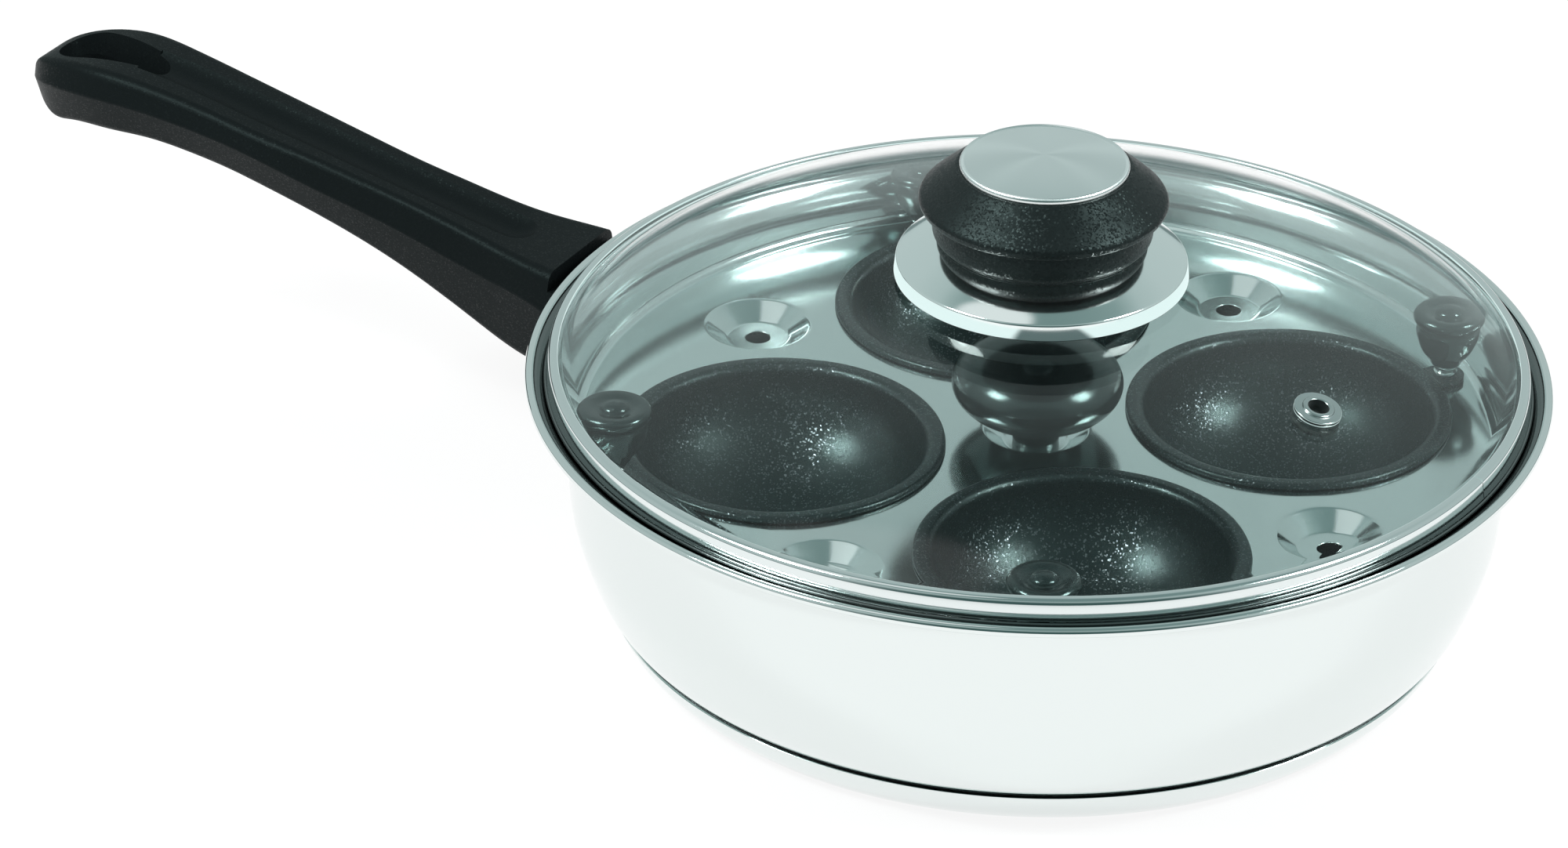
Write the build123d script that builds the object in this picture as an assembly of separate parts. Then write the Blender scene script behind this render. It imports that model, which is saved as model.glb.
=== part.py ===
from build123d import *
import os
from math import asin, atan2, cos, degrees, hypot, radians, sin, sqrt

os.makedirs("parts", exist_ok=True)

# pan shell, 200 mm across inside
wall_radius = 101.2
wall_thickness = 0.8
body_underside = 7.2
flare_start = 47.1
flare_radius = 10.5
flare_sweep_deg = 75.0
bead_radius = 1.1
# belly outline, each pair a share of wall_radius and of the height up to the flare
belly_shares = (
    (0.893, 0.0),
    (0.917, 0.05),
    (0.9605, 0.259),
    (0.986, 0.477),
    (0.9955, 0.749),
    (1.0, 1.0),
)

# sandwich base
capsule_height = 8.2
capsule_thickness = 0.6
capsule_foot_radius = 87.0
capsule_lip_radius = 92.9
capsule_bulge_radius = 90.6
capsule_bulge_height_share = 0.44
base_seat_gap = 0.15

# poacher tray
plate_top = 43.4
tray_thickness = 0.8
tray_clearance = 0.3
tray_corner_radius = 3.0
tray_flare_sweep_deg = 58.0
tray_bead_radius = 0.5
tray_turn_deg = -7.66
cup_count = 4
cup_orbit = 55.15
cup_hole_clearance = 0.4
dimple_orbit = 74.9
dimple_depth = 3.3
dimple_outer_radius = 10.9
dimple_floor_radius = 6.0
steam_hole_radius = 2.8
dimple_bend_radius = 1.2
centre_hole_radius = 2.1

# egg cups
cup_flange_radius = 35.1
cup_mouth_radius = 31.0
cup_thickness = 1.0
cup_rim_height = 1.5
cup_depth = 24.0
cup_rest_gap = 0.3
cup_edge_radius = 0.9
cup_bowl_angles_deg = (0, 25, 50, 72)
ear_reach = 38.0
ear_radius = 4.2
# where each cup stands turned in its hole, away from pointing straight out
cup_turns_deg = {"right": 15.0, "rear": 15.0, "left": 16.0, "front": -22.6}

# cup knobs, a turned grip on a steel ferrule
ferrule_radius = 2.6
ferrule_waist_radius = 2.1
ferrule_height = 2.8
stud_radius = 1.4
stud_height = 9.0
cup_knob_height = 14.9
cup_knob_foot_radius = 3.2
cup_knob_belly_radius = 7.0
cup_knob_neck_radius = 6.8
cup_knob_top_radius = 7.7
cup_knob_button_height = 2.7
cup_knob_dish_radius = 4.8
cup_knob_dish_depth = 0.5
cup_knob_pip_radius = 3.0
cup_knob_pip_height = 0.9
cup_knob_pip_shares = (0.72, 0.6)
# belly outline of the grip, shares of its radius and of the height below the button
cup_knob_shares = ((0.52, 0.08), (0.76, 0.3), (0.94, 0.6), (1.0, 0.86))

# tray lifting knob, a flattened ball on a neck
ball_radius = 18.4
ball_half_height = 9.2
ball_lift = 4.8
ball_neck_radius = 4.6
ball_foot_radius = 5.0
ball_foot_height = 1.2
tray_screw_radius = 2.0
tray_screw_head_radius = 4.2
tray_screw_head_height = 2.2
tray_screw_reach = 15.0
tray_washer_radius = 5.6
tray_washer_thickness = 0.8

# lid band, a split channel of thin steel
band_overhang = 0.16
band_thickness = 0.5
band_edge_radius = 1.1
band_depth = 2.7
band_wall_height = 2.4
band_rest_gap = 0.1
band_lip_rise = 0.2
band_seam_width = 0.25
band_seam_deg = -1.6

# lid glass, outline of the upper side in shares of its edge radius and of its rise
glass_band_gap = 0.2
glass_edge_round = 0.8
glass_edge_thickness = 3.4
glass_thickness = 3.2
glass_rise = 21.4
glass_shares = (
    (0.976, 0.0),
    (0.935, 0.129),
    (0.858, 0.31),
    (0.696, 0.581),
    (0.477, 0.805),
    (0.296, 0.919),
    (0.15, 0.98),
    (0.0, 1.0),
)
glass_hole_radius = 3.2
fit_gap = 0.1

# steam vent in the glass
vent_orbit_share = 0.6956
vent_angle_deg = -11.0
vent_hole_radius = 2.2
vent_barrel_radius = 3.0
vent_flange_radius = 5.1
vent_flange_thickness = 0.9
vent_collar_radius = 3.8
vent_collar_height = 1.9
vent_edge_radius = 0.4
vent_washer_thickness = 0.9
vent_seat_gap = 0.07
vent_washer_gap = 0.2

# lid knob on its steel skirt
skirt_radius = 31.4
skirt_height = 3.6
skirt_shoulder_inset = 0.4
skirt_thickness = 0.8
skirt_edge_radius = 0.6
skirt_seat_radius = 22.6
skirt_seat_height = 8.4
skirt_gap = 0.1
knob_boss_radius = 7.0
knob_boss_clearance = 0.2
knob_foot_radius = 22.2
knob_collar_radius = 23.5
knob_crease_radius = 22.8
knob_crease_drop = 1.6
knob_lip_inset = 0.4
knob_lip_drop = 1.2
knob_widest_radius = 26.5
knob_widest_height = 9.3
knob_top_radius = 18.6
knob_height = 16.7
# collar, each pair a share of its bulge past the foot and of the way up to the crease
knob_collar_shares = ((0.6, 0.15), (1.0, 0.42), (0.85, 0.7))
# shoulder, each pair a share of the way out to the widest and of the way up to the top
knob_shoulder_shares = ((0.967, 0.085), (0.861, 0.211), (0.671, 0.397), (0.373, 0.666))
knob_socket_depth = 2.2
cap_radius = 18.0
cap_edge_height = 0.95
cap_bulge = 1.9
lid_screw_radius = 2.5
lid_screw_head_radius = 5.5
lid_screw_head_height = 2.6
lid_screw_reach = 18.0
lid_washer_radius = 9.0
lid_washer_thickness = 1.5
lid_washer_gap = 0.3

# handle, root on the pan and tip away from it
handle_root = 100.0
handle_reach = 259.8
handle_seat_height = 31.5
handle_depth = 24.9
handle_half_width = 12.0
handle_part_flare = 2.1
handle_foot_share = 0.82
handle_waist_share = 0.75
handle_fit = 0.3
handle_end_reach = 114.3
handle_end_drop = 3.8
corner_share = 0.22
part_corner_share = 0.08
foot_corner_share = 0.25
# share of length, share of half width, then top, parting and underside as shares of depth
handle_shares = (
    (0.0, 1.259, 1.005, 0.602, -0.03),
    (0.0832, 1.112, 1.009, 0.631, -0.022),
    (0.1764, 0.931, 1.056, 0.759, 0.036),
    (0.2429, 0.828, 1.124, 0.827, 0.205),
    (0.3093, 0.776, 1.205, 0.928, 0.390),
    (0.3758, handle_waist_share, 1.281, 1.024, 0.558),
    (0.4422, 0.767, 1.361, 1.116, 0.707),
    (0.5087, 0.797, 1.442, 1.217, 0.835),
    (0.5752, 0.836, 1.518, 1.329, 0.948),
    (0.6416, 0.853, 1.602, 1.414, 1.044),
    (0.7081, 0.888, 1.683, 1.478, 1.112),
    (0.7745, 0.948, 1.751, 1.526, 1.153),
    (0.841, 1.0, 1.79, 1.546, 1.145),
    (0.9075, 0.888, 1.754, 1.518, 1.112),
    (0.9472, 0.69, 1.69, 1.474, 1.07),
    (0.9783, 0.431, 1.582, 1.418, 1.185),
    (0.9975, 0.138, 1.422, 1.345, 1.273),
)
trough_radius = 8.0
trough_depth = 1.8
trough_start_share = 0.19
trough_stop_share = 0.8
trough_spots = 9
slot_big_radius = 5.8
slot_small_radius = 2.2
slot_end_inset = 14.6
slot_length = 18.2
slot_lip_growth = 2.6
slot_lip_height = 78.0
slot_lip_depth = 8.0

# bracket welded under the flare, with its tongue in the handle
bracket_pad_thickness = 1.5
bracket_pad_half_width = 10.0
bracket_pad_low = 36.0
bracket_pad_high = 46.0
tongue_width = 12.0
tongue_thickness = 4.0
tongue_height = 41.0
tongue_reach = 136.0
tongue_clearance = 0.2
handle_screw_reach = 126.0
handle_screw_radius = 2.0
handle_screw_head_radius = 4.0
handle_screw_head_height = 2.4
handle_screw_sink = 3.0

# how far a cutting tool runs past the sheet it cuts, as a multiple of the sheet
cutter_reach = 4
ferrule_groove_share = 0.5

names = ("right", "rear", "left", "front")
flare_centre = wall_radius + flare_radius
tray_sheet_sweep = flare_radius + wall_thickness + tray_clearance + tray_thickness / 2
tray_rim_radius = flare_centre - tray_sheet_sweep * cos(radians(tray_flare_sweep_deg))
tray_rim_height = flare_start + tray_sheet_sweep * sin(radians(tray_flare_sweep_deg))
band_radius = tray_rim_radius + band_overhang
glass_edge_radius = band_radius - band_thickness - glass_band_gap


def at(point):
    return (point[0], 0, point[1])


def line(start, end):
    return Line(at(start), at(end))


def lines(*points):
    return [line(a, b) for a, b in zip(points, points[1:])]


def curve(*points):
    return Spline(*[at(p) for p in points])


def around(centre, radius, from_deg, to_deg):
    spots = [from_deg, (from_deg + to_deg) / 2, to_deg]
    path = [(centre[0] + radius * cos(radians(a)), centre[1] + radius * sin(radians(a))) for a in spots]
    return ThreePointArc(*[at(p) for p in path])


def turned(edges):
    face = Face(Wire(edges))
    return revolve(face, axis=Axis.Z)


def offset_points(points, distance):
    moved = []
    last = len(points) - 1
    for i, point in enumerate(points):
        before = points[max(i - 1, 0)]
        after = points[min(i + 1, last)]
        run = after[0] - before[0]
        rise = after[1] - before[1]
        length = hypot(run, rise)
        moved.append((point[0] - distance * rise / length, point[1] + distance * run / length))
    return moved


def outline_ring(points, corners):
    # closed section around the axis, with every corner rounded that has a radius
    face = Face(Wire.make_polygon([at(p) for p in points], close=True))
    for point, radius in zip(points, corners):
        if radius:
            corner = face.vertices().sort_by_distance(at(point))[0]
            face = face.fillet_2d(radius, [corner])
    return revolve(face, axis=Axis.Z)


def placed(shape, angle_deg, radius):
    return Rot(0, 0, angle_deg) * Pos(radius, 0, 0) * shape


def save(shape, name):
    shape.label = name
    export_step(shape, f"parts/{name}.step")


def belly():
    height = flare_start - body_underside
    return [(r * wall_radius, body_underside + z * height) for r, z in belly_shares]


def flare_spot(radius, sweep):
    return (flare_centre - radius * cos(radians(sweep)), flare_start + radius * sin(radians(sweep)))


def pan_body():
    outer = belly()
    inner = offset_points(outer, wall_thickness)
    inner[0] = (inner[0][0], body_underside + wall_thickness)
    inner[-1] = (wall_radius - wall_thickness, flare_start)
    middle = flare_sweep_deg / 2
    outside = [at(flare_spot(flare_radius, a)) for a in (0, middle, flare_sweep_deg)]
    inside_radius = flare_radius + wall_thickness
    inside = [at(flare_spot(inside_radius, a)) for a in (flare_sweep_deg, middle, 0)]
    edges = [
        line((0, body_underside), outer[0]),
        curve(*outer),
        ThreePointArc(*outside),
        Line(outside[2], inside[0]),
        ThreePointArc(*inside),
        curve(*reversed(inner)),
        line(inner[0], (0, inner[0][1])),
        line((0, inner[0][1]), (0, body_underside)),
    ]
    bead_r, bead_z = flare_spot(flare_radius + wall_thickness / 2, flare_sweep_deg)
    bead = Pos(0, 0, bead_z) * Torus(bead_r, bead_radius)
    return turned(edges) + bead


def capsule_points(inset):
    bulge_height = capsule_bulge_height_share * capsule_height
    return [
        (capsule_foot_radius - inset, inset),
        (capsule_bulge_radius - inset, bulge_height),
        (capsule_lip_radius - inset, capsule_height),
    ]


def base_capsule():
    outer = capsule_points(0)
    inner = capsule_points(capsule_thickness)
    edges = [
        line((0, 0), outer[0]),
        curve(*outer),
        line(outer[2], inner[2]),
        curve(*reversed(inner)),
        line(inner[0], (0, capsule_thickness)),
        line((0, capsule_thickness), (0, 0)),
    ]
    return turned(edges)


def base_core():
    low, bulge, high = capsule_points(capsule_thickness + base_seat_gap)
    top = body_underside - base_seat_gap
    reach = bulge[0] + (high[0] - bulge[0]) * (top - bulge[1]) / (high[1] - bulge[1])
    edge = (reach - base_seat_gap, top)
    edges = [
        line((0, low[1]), low),
        curve(low, (bulge[0] - base_seat_gap, bulge[1]), edge),
        line(edge, (0, top)),
        line((0, top), (0, low[1])),
    ]
    return turned(edges)


def tray_skin():
    outer_sweep = flare_radius + wall_thickness + tray_clearance
    inner_sweep = outer_sweep + tray_thickness
    wall = flare_centre - outer_sweep
    under = plate_top - tray_thickness
    bend = tray_corner_radius
    inner_bend = bend - tray_thickness
    middle = tray_flare_sweep_deg / 2
    outside = [at(flare_spot(outer_sweep, a)) for a in (0, middle, tray_flare_sweep_deg)]
    inside = [at(flare_spot(inner_sweep, a)) for a in (tray_flare_sweep_deg, middle, 0)]
    bend_centre = (wall - bend, under + bend)
    edges = [
        line((0, under), (wall - bend, under)),
        around(bend_centre, bend, -90, 0),
        line((wall, under + bend), (wall, flare_start)),
        ThreePointArc(*outside),
        Line(outside[2], inside[0]),
        ThreePointArc(*inside),
        line((wall - tray_thickness, flare_start), (wall - tray_thickness, under + bend)),
        around(bend_centre, inner_bend, 0, -90),
        line((wall - bend, plate_top), (0, plate_top)),
        line((0, plate_top), (0, under)),
    ]
    bead_r, bead_z = flare_spot(outer_sweep + tray_thickness / 2, tray_flare_sweep_deg)
    return turned(edges) + Pos(0, 0, bead_z) * Torus(bead_r, tray_bead_radius)


def dimple(hole_radius):
    # one pressed well, drawn around its own axis with the plate top as height
    top = plate_top
    floor = plate_top - dimple_depth
    points = [
        (dimple_outer_radius + dimple_bend_radius * 2, top),
        (dimple_outer_radius, top),
        (dimple_floor_radius, floor),
        (hole_radius, floor),
        (hole_radius, floor - tray_thickness),
        (dimple_floor_radius, floor - tray_thickness),
        (dimple_outer_radius, top - tray_thickness),
        (dimple_outer_radius + dimple_bend_radius * 2, top - tray_thickness),
    ]
    bend = dimple_bend_radius
    return outline_ring(points, (0, bend, bend, 0, 0, bend, bend, 0))


def dimple_spots():
    step = 360 / cup_count
    return [tray_turn_deg + step * i for i in range(cup_count)]


def cup_angle(index):
    step = 360 / cup_count
    return tray_turn_deg + step / 2 + step * index


def poacher_tray():
    tray = tray_skin()
    well_radius = dimple_outer_radius + dimple_bend_radius
    well = Pos(0, 0, plate_top) * Cylinder(well_radius, tray_thickness * cutter_reach)
    hole_radius = cup_mouth_radius + cup_thickness + cup_hole_clearance
    hole = Pos(0, 0, plate_top) * Cylinder(hole_radius, tray_thickness * cutter_reach)
    tray -= well
    tray += dimple(centre_hole_radius)
    for angle in dimple_spots():
        tray -= placed(well, angle, dimple_orbit)
        tray += placed(dimple(steam_hole_radius), angle, dimple_orbit)
    for index in range(cup_count):
        tray -= placed(hole, cup_angle(index), cup_orbit)
    return tray


def tray_knob():
    foot = plate_top - dimple_depth
    neck_height = ball_lift + ball_half_height
    ball = Pos(0, 0, foot + neck_height) * scale(Sphere(1), by=(ball_radius, ball_radius, ball_half_height))
    neck = Pos(0, 0, foot + neck_height / 2) * Cylinder(ball_neck_radius, neck_height)
    base = Pos(0, 0, foot + ball_foot_height / 2) * Cylinder(ball_foot_radius, ball_foot_height)
    drill = Pos(0, 0, foot) * Cylinder(tray_screw_radius, tray_screw_reach * 2)
    return ball + neck + base - drill


def tray_knob_washer():
    top = plate_top - dimple_depth - tray_thickness
    ring = Cylinder(tray_washer_radius, tray_washer_thickness)
    ring -= Cylinder(tray_screw_radius, tray_washer_thickness)
    return Pos(0, 0, top - tray_washer_thickness / 2) * ring


def tray_knob_screw():
    head_top = plate_top - dimple_depth - tray_thickness - tray_washer_thickness
    head_low = head_top - tray_screw_head_height
    crown = tray_screw_head_height / 2
    tip = plate_top - dimple_depth + tray_screw_reach - fit_gap
    points = [
        (0, head_low),
        (tray_screw_head_radius, head_low),
        (tray_screw_head_radius, head_top),
        (tray_screw_radius - fit_gap, head_top),
        (tray_screw_radius - fit_gap, tip),
        (0, tip),
    ]
    return outline_ring(points, (0, crown, 0, 0, 0, 0))


def cup_profile():
    # turned bowl with a flat flange and a turned-down lip
    lip_low = plate_top + cup_rest_gap
    top = plate_top + cup_rim_height
    t = cup_thickness
    mouth = cup_mouth_radius
    inner_low = top - cup_depth
    bend = cup_edge_radius + t
    inner_start = (mouth, top - bend)
    spots = [
        (mouth * sin(radians(a)), top - bend - (cup_depth - bend) * cos(radians(a)))
        for a in cup_bowl_angles_deg
    ]
    inner = spots + [inner_start]
    shell = offset_points(inner, -t)
    shell[0] = (0, inner_low - t)
    shell[-1] = (mouth + t, top - bend)
    edge = (cup_flange_radius, top)
    inner_lip = (cup_flange_radius - t, top - t)
    shoulder = (mouth + bend, top)
    edges = [
        curve(*inner),
        ThreePointArc(at(inner_start), at(bend_mid(shoulder, bend)), at(shoulder)),
        line(shoulder, (edge[0] - cup_edge_radius, top)),
        around((edge[0] - cup_edge_radius, top - cup_edge_radius), cup_edge_radius, 90, 0),
        line((edge[0], top - cup_edge_radius), (edge[0], lip_low)),
        line((edge[0], lip_low), (inner_lip[0], lip_low)),
        line((inner_lip[0], lip_low), inner_lip),
        line(inner_lip, (mouth + t, top - t)),
        line((mouth + t, top - t), shell[-1]),
        curve(*reversed(shell)),
        line(shell[0], inner[0]),
    ]
    return edges


def bend_mid(shoulder, bend):
    return (shoulder[0] - bend * sin(radians(45)), shoulder[1] - bend * (1 - cos(radians(45))))


def cup_shell(turn_deg):
    bowl = turned(cup_profile())
    low = plate_top + cup_rest_gap
    ear = Pos(ear_reach / 2, 0, 0) * Box(ear_reach, ear_radius * 2, cup_thickness)
    ear += Pos(ear_reach, 0, 0) * Cylinder(ear_radius, cup_thickness)
    ear -= Cylinder(cup_flange_radius - cup_thickness / 2, cup_thickness * 2)
    ear -= Pos(ear_reach, 0, 0) * Cylinder(stud_radius, cup_thickness * 2)
    ear = Pos(0, 0, low + cup_thickness / 2) * ear
    return bowl + Rot(0, 0, turn_deg) * ear


def ferrule():
    low = plate_top + cup_rest_gap
    foot = low + cup_thickness
    third = ferrule_height / 3
    points = [
        (0, low),
        (stud_radius, low),
        (stud_radius, foot),
        (ferrule_radius, foot),
        (ferrule_radius, foot + third),
        (ferrule_waist_radius, foot + third * (1 + ferrule_groove_share)),
        (ferrule_radius, foot + third * 2),
        (ferrule_radius, foot + ferrule_height),
        (stud_radius, foot + ferrule_height),
        (stud_radius, foot + ferrule_height + stud_height),
        (0, foot + ferrule_height + stud_height),
    ]
    return outline_ring(points, (0,) * len(points))


def cup_knob():
    foot = plate_top + cup_rest_gap + cup_thickness + ferrule_height
    top = plate_top + cup_rest_gap + cup_thickness + cup_knob_height
    button_low = top - cup_knob_button_height
    grip_height = button_low - foot
    bore_top = foot + stud_height + fit_gap
    belly_line = [(cup_knob_foot_radius, foot)]
    belly_line += [(cup_knob_belly_radius * r, foot + grip_height * z) for r, z in cup_knob_shares]
    belly_line += [(cup_knob_neck_radius, button_low)]
    crown = cup_knob_button_height / 2
    rim = cup_knob_top_radius
    dish = (cup_knob_dish_radius, top - cup_knob_dish_depth)
    pip_foot = (cup_knob_pip_radius, top - cup_knob_dish_depth)
    wide, rise = cup_knob_pip_shares
    pip_mid = (cup_knob_pip_radius * wide, top + cup_knob_pip_height * rise)
    pip_top = (0, top + cup_knob_pip_height)
    edges = [
        line((0, bore_top), (stud_radius, bore_top)),
        line((stud_radius, bore_top), (stud_radius, foot)),
        line((stud_radius, foot), belly_line[0]),
        curve(*belly_line),
        curve(belly_line[-1], (rim, button_low + crown), (rim - crown, top)),
        line((rim - crown, top), dish),
        line(dish, pip_foot),
        curve(pip_foot, pip_mid, pip_top),
        line(pip_top, (0, bore_top)),
    ]
    return turned(edges)


def band_low():
    return tray_rim_height + tray_bead_radius + band_rest_gap


def lid_band():
    low = band_low()
    high = low + 2 * band_edge_radius + band_wall_height
    reach = band_radius - band_depth
    t = band_thickness
    points = [
        (reach, low),
        (band_radius, low),
        (band_radius, high),
        (reach, high + band_lip_rise),
        (reach, high + band_lip_rise - t),
        (band_radius - t, high - t),
        (band_radius - t, low + t),
        (reach, low + t),
    ]
    edge = band_edge_radius
    inner = edge - t
    ring = outline_ring(points, (0, edge, edge, 0, 0, inner, inner, 0))
    cutter = Box(band_depth * cutter_reach, band_seam_width, (high - low) * 2)
    cut = Pos(band_radius, 0, (low + high) / 2) * cutter
    return ring - Rot(0, 0, band_seam_deg) * cut


def glass_levels():
    low = band_low() + band_thickness + fit_gap
    return low, low + glass_edge_thickness


def glass_top():
    top = glass_levels()[1]
    return [(r * glass_edge_radius, top + z * glass_rise) for r, z in glass_shares]


def glass_under():
    under = offset_points(glass_top(), glass_thickness)
    crown = glass_top()[-1][1] - glass_thickness
    under[0] = (glass_top()[0][0], glass_levels()[0])
    under[-1] = (0, crown)
    return under


def glass_height(radius):
    points = sorted(glass_top())
    for a, b in zip(points, points[1:]):
        if a[0] <= radius <= b[0]:
            return a[1] + (b[1] - a[1]) * (radius - a[0]) / (b[0] - a[0])
    return points[-1][1]


def lid_glass():
    low, top = glass_levels()
    over = glass_top()
    under = glass_under()
    bend = glass_edge_round
    rim = glass_edge_radius - bend
    edges = [
        around((rim, low + bend), bend, -90, 0),
        line((glass_edge_radius, low + bend), (glass_edge_radius, top - bend)),
        around((rim, top - bend), bend, 0, 90),
        line((rim, top), over[0]),
        curve(*over),
        line(over[-1], under[-1]),
        curve(*reversed(under)),
        line(under[0], (rim, low)),
    ]
    glass = turned(edges)
    glass -= Pos(0, 0, over[-1][1]) * Cylinder(glass_hole_radius, glass_thickness * cutter_reach)
    return glass - vent_place() * Cylinder(vent_barrel_radius + fit_gap, glass_thickness * cutter_reach)


def glass_tilt_deg(radius):
    # slope of the glass between the outline points on either side
    inner = max(p for p in glass_top() if p[0] < radius - glass_thickness)
    outer = min(p for p in glass_top() if p[0] > radius + glass_thickness)
    return degrees(atan2(inner[1] - outer[1], outer[0] - inner[0]))


def vent_place():
    orbit = vent_orbit_share * glass_edge_radius
    height = glass_height(orbit)
    return Rot(0, 0, vent_angle_deg) * Pos(orbit, 0, height) * Rot(0, glass_tilt_deg(orbit), 0)


def vent_eyelet():
    foot = vent_seat_gap
    flange = foot + vent_flange_thickness
    collar = flange + vent_collar_height - vent_flange_thickness
    low = -glass_thickness - vent_washer_thickness - vent_washer_gap
    points = [
        (vent_hole_radius, low),
        (vent_barrel_radius, low),
        (vent_barrel_radius, foot),
        (vent_flange_radius, foot),
        (vent_flange_radius, flange),
        (vent_collar_radius, flange),
        (vent_collar_radius, collar),
        (vent_hole_radius, collar),
    ]
    edge = vent_edge_radius
    return vent_place() * outline_ring(points, (0, 0, 0, 0, edge, 0, edge, edge))


def vent_washer():
    top = -glass_thickness - vent_washer_gap
    low = top - vent_washer_thickness
    points = [
        (vent_barrel_radius, low),
        (vent_flange_radius, low),
        (vent_flange_radius, top),
        (vent_barrel_radius, top),
    ]
    return vent_place() * outline_ring(points, (0, vent_edge_radius, 0, 0))


def lid_knob_levels():
    crown = glass_top()[-1][1]
    skirt_low = glass_height(skirt_radius) + skirt_gap
    seat = skirt_low + skirt_seat_height
    return crown, skirt_low, seat


def lid_knob_skirt():
    low, seat = lid_knob_levels()[1:]
    t = skirt_thickness
    shoulder = low + skirt_height
    bore = knob_boss_radius + knob_boss_clearance
    points = [
        (skirt_radius - t, low),
        (skirt_radius, low),
        (skirt_radius - skirt_shoulder_inset, shoulder),
        (skirt_seat_radius, seat),
        (bore, seat),
        (bore, seat - t),
        (skirt_seat_radius - t / 2, seat - t),
        (skirt_radius - skirt_shoulder_inset - t, shoulder - t / 2),
    ]
    edge = skirt_edge_radius
    return outline_ring(points, (0, 0, edge, 0, 0, 0, 0, 0))


def lid_knob():
    crown, seat = lid_knob_levels()[::2]
    widest = seat + knob_widest_height
    top = seat + knob_height
    socket = top - knob_socket_depth
    wide_gap = knob_widest_radius - knob_top_radius
    shoulder = [
        (knob_top_radius + wide_gap * r, widest + (top - widest) * z) for r, z in knob_shoulder_shares
    ]
    foot = crown + skirt_gap
    bore_top = foot + lid_screw_reach
    crease = widest - knob_crease_drop
    bulge = knob_collar_radius - knob_foot_radius
    collar = [(knob_foot_radius + bulge * r, seat + (crease - seat) * z) for r, z in knob_collar_shares]
    edges = lines(
        (0, bore_top),
        (lid_screw_radius, bore_top),
        (lid_screw_radius, foot),
        (knob_boss_radius, foot),
        (knob_boss_radius, seat),
        (knob_foot_radius, seat),
    )
    edges.append(curve((knob_foot_radius, seat), *collar, (knob_crease_radius, crease)))
    edges += lines(
        (knob_crease_radius, crease),
        (knob_widest_radius - knob_lip_inset, widest - knob_lip_drop),
        (knob_widest_radius, widest),
    )
    edges.append(curve((knob_widest_radius, widest), *shoulder, (knob_top_radius, top)))
    edges += lines(
        (knob_top_radius, top),
        (cap_radius + fit_gap, top),
        (cap_radius + fit_gap, socket),
        (0, socket),
        (0, bore_top),
    )
    return turned(edges)


def lid_knob_cap():
    seat = lid_knob_levels()[2]
    socket = seat + knob_height - knob_socket_depth
    edge = seat + knob_height + cap_edge_height
    crown = edge + cap_bulge
    low = socket + fit_gap
    dome = (cap_radius**2 + cap_bulge**2) / (2 * cap_bulge)
    half = cap_radius / 2
    middle = (half, crown - dome + sqrt(dome**2 - half**2))
    edges = lines((0, crown), (0, low), (cap_radius, low), (cap_radius, edge))
    edges += [ThreePointArc(at((cap_radius, edge)), at(middle), at((0, crown)))]
    return turned(edges)


def lid_knob_washer():
    crown = glass_top()[-1][1]
    top = crown - glass_thickness - lid_washer_gap
    ring = Cylinder(lid_washer_radius, lid_washer_thickness)
    ring -= Cylinder(lid_screw_radius, lid_washer_thickness)
    return Pos(0, 0, top - lid_washer_thickness / 2) * ring


def lid_knob_screw():
    crown = glass_top()[-1][1]
    head_top = crown - glass_thickness - lid_washer_gap - lid_washer_thickness
    head_low = head_top - lid_screw_head_height
    tip = crown + skirt_gap + lid_screw_reach - fit_gap
    points = [
        (0, head_low),
        (lid_screw_head_radius, head_low),
        (lid_screw_head_radius, head_top),
        (lid_screw_radius - fit_gap, head_top),
        (lid_screw_radius - fit_gap, tip),
        (0, tip),
    ]
    return outline_ring(points, (0, lid_screw_head_height / 2, 0, 0, 0, 0))


def handle_station(shares):
    along, wide, top, part, low = shares
    reach = handle_root + along * (handle_reach - handle_root)
    half = wide * handle_half_width
    levels = [handle_seat_height + s * handle_depth for s in (top, part, low)]
    return reach, half, levels


def handle_section(shares):
    reach, half, (top, part, low) = handle_station(shares)
    side = half + handle_part_flare * min(wide_share(shares), 1)
    foot = half * handle_foot_share
    points = [
        (half, top),
        (side, part),
        (foot, low),
        (-foot, low),
        (-side, part),
        (-half, top),
    ]
    corner = corner_share * half
    part_corner = part_corner_share * half
    foot_corner = foot_corner_share * half
    rounds = (corner, part_corner, foot_corner, foot_corner, part_corner, corner)
    face = Face(Wire.make_polygon([(-reach, y, z) for y, z in points], close=True))
    for point, radius in zip(points, rounds):
        nearest = face.vertices().sort_by_distance((-reach, point[0], point[1]))[0]
        face = face.fillet_2d(radius, [nearest])
    return face


def wide_share(shares):
    return shares[1] / handle_waist_share


def handle_top(reach):
    rows = [handle_station(s) for s in handle_shares]
    for a, b in zip(rows, rows[1:]):
        if a[0] <= reach <= b[0]:
            return a[2][0] + (b[2][0] - a[2][0]) * (reach - a[0]) / (b[0] - a[0])
    return rows[-1][2][0]


def pan_envelope():
    near = wall_radius + handle_fit
    arc_radius = flare_radius - handle_fit
    bead_r, bead_z = flare_spot(flare_radius + wall_thickness / 2, flare_sweep_deg)
    rim = bead_r + bead_radius + handle_fit
    ledge = bead_z - bead_radius - handle_fit
    sweep = degrees(asin(min(1, (ledge - flare_start) / arc_radius)))
    arc = [at(flare_spot(arc_radius, a)) for a in (0, sweep / 2, sweep)]
    high = flare_start + 2 * handle_depth
    edges = [
        line((0, 0), (near, 0)),
        line((near, 0), (near, flare_start)),
        ThreePointArc(*arc),
        Line(arc[2], at((rim, arc[2][2]))),
        line((rim, arc[2][2]), (rim, high)),
        line((rim, high), (0, high)),
        line((0, high), (0, 0)),
    ]
    return turned(edges)


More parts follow.
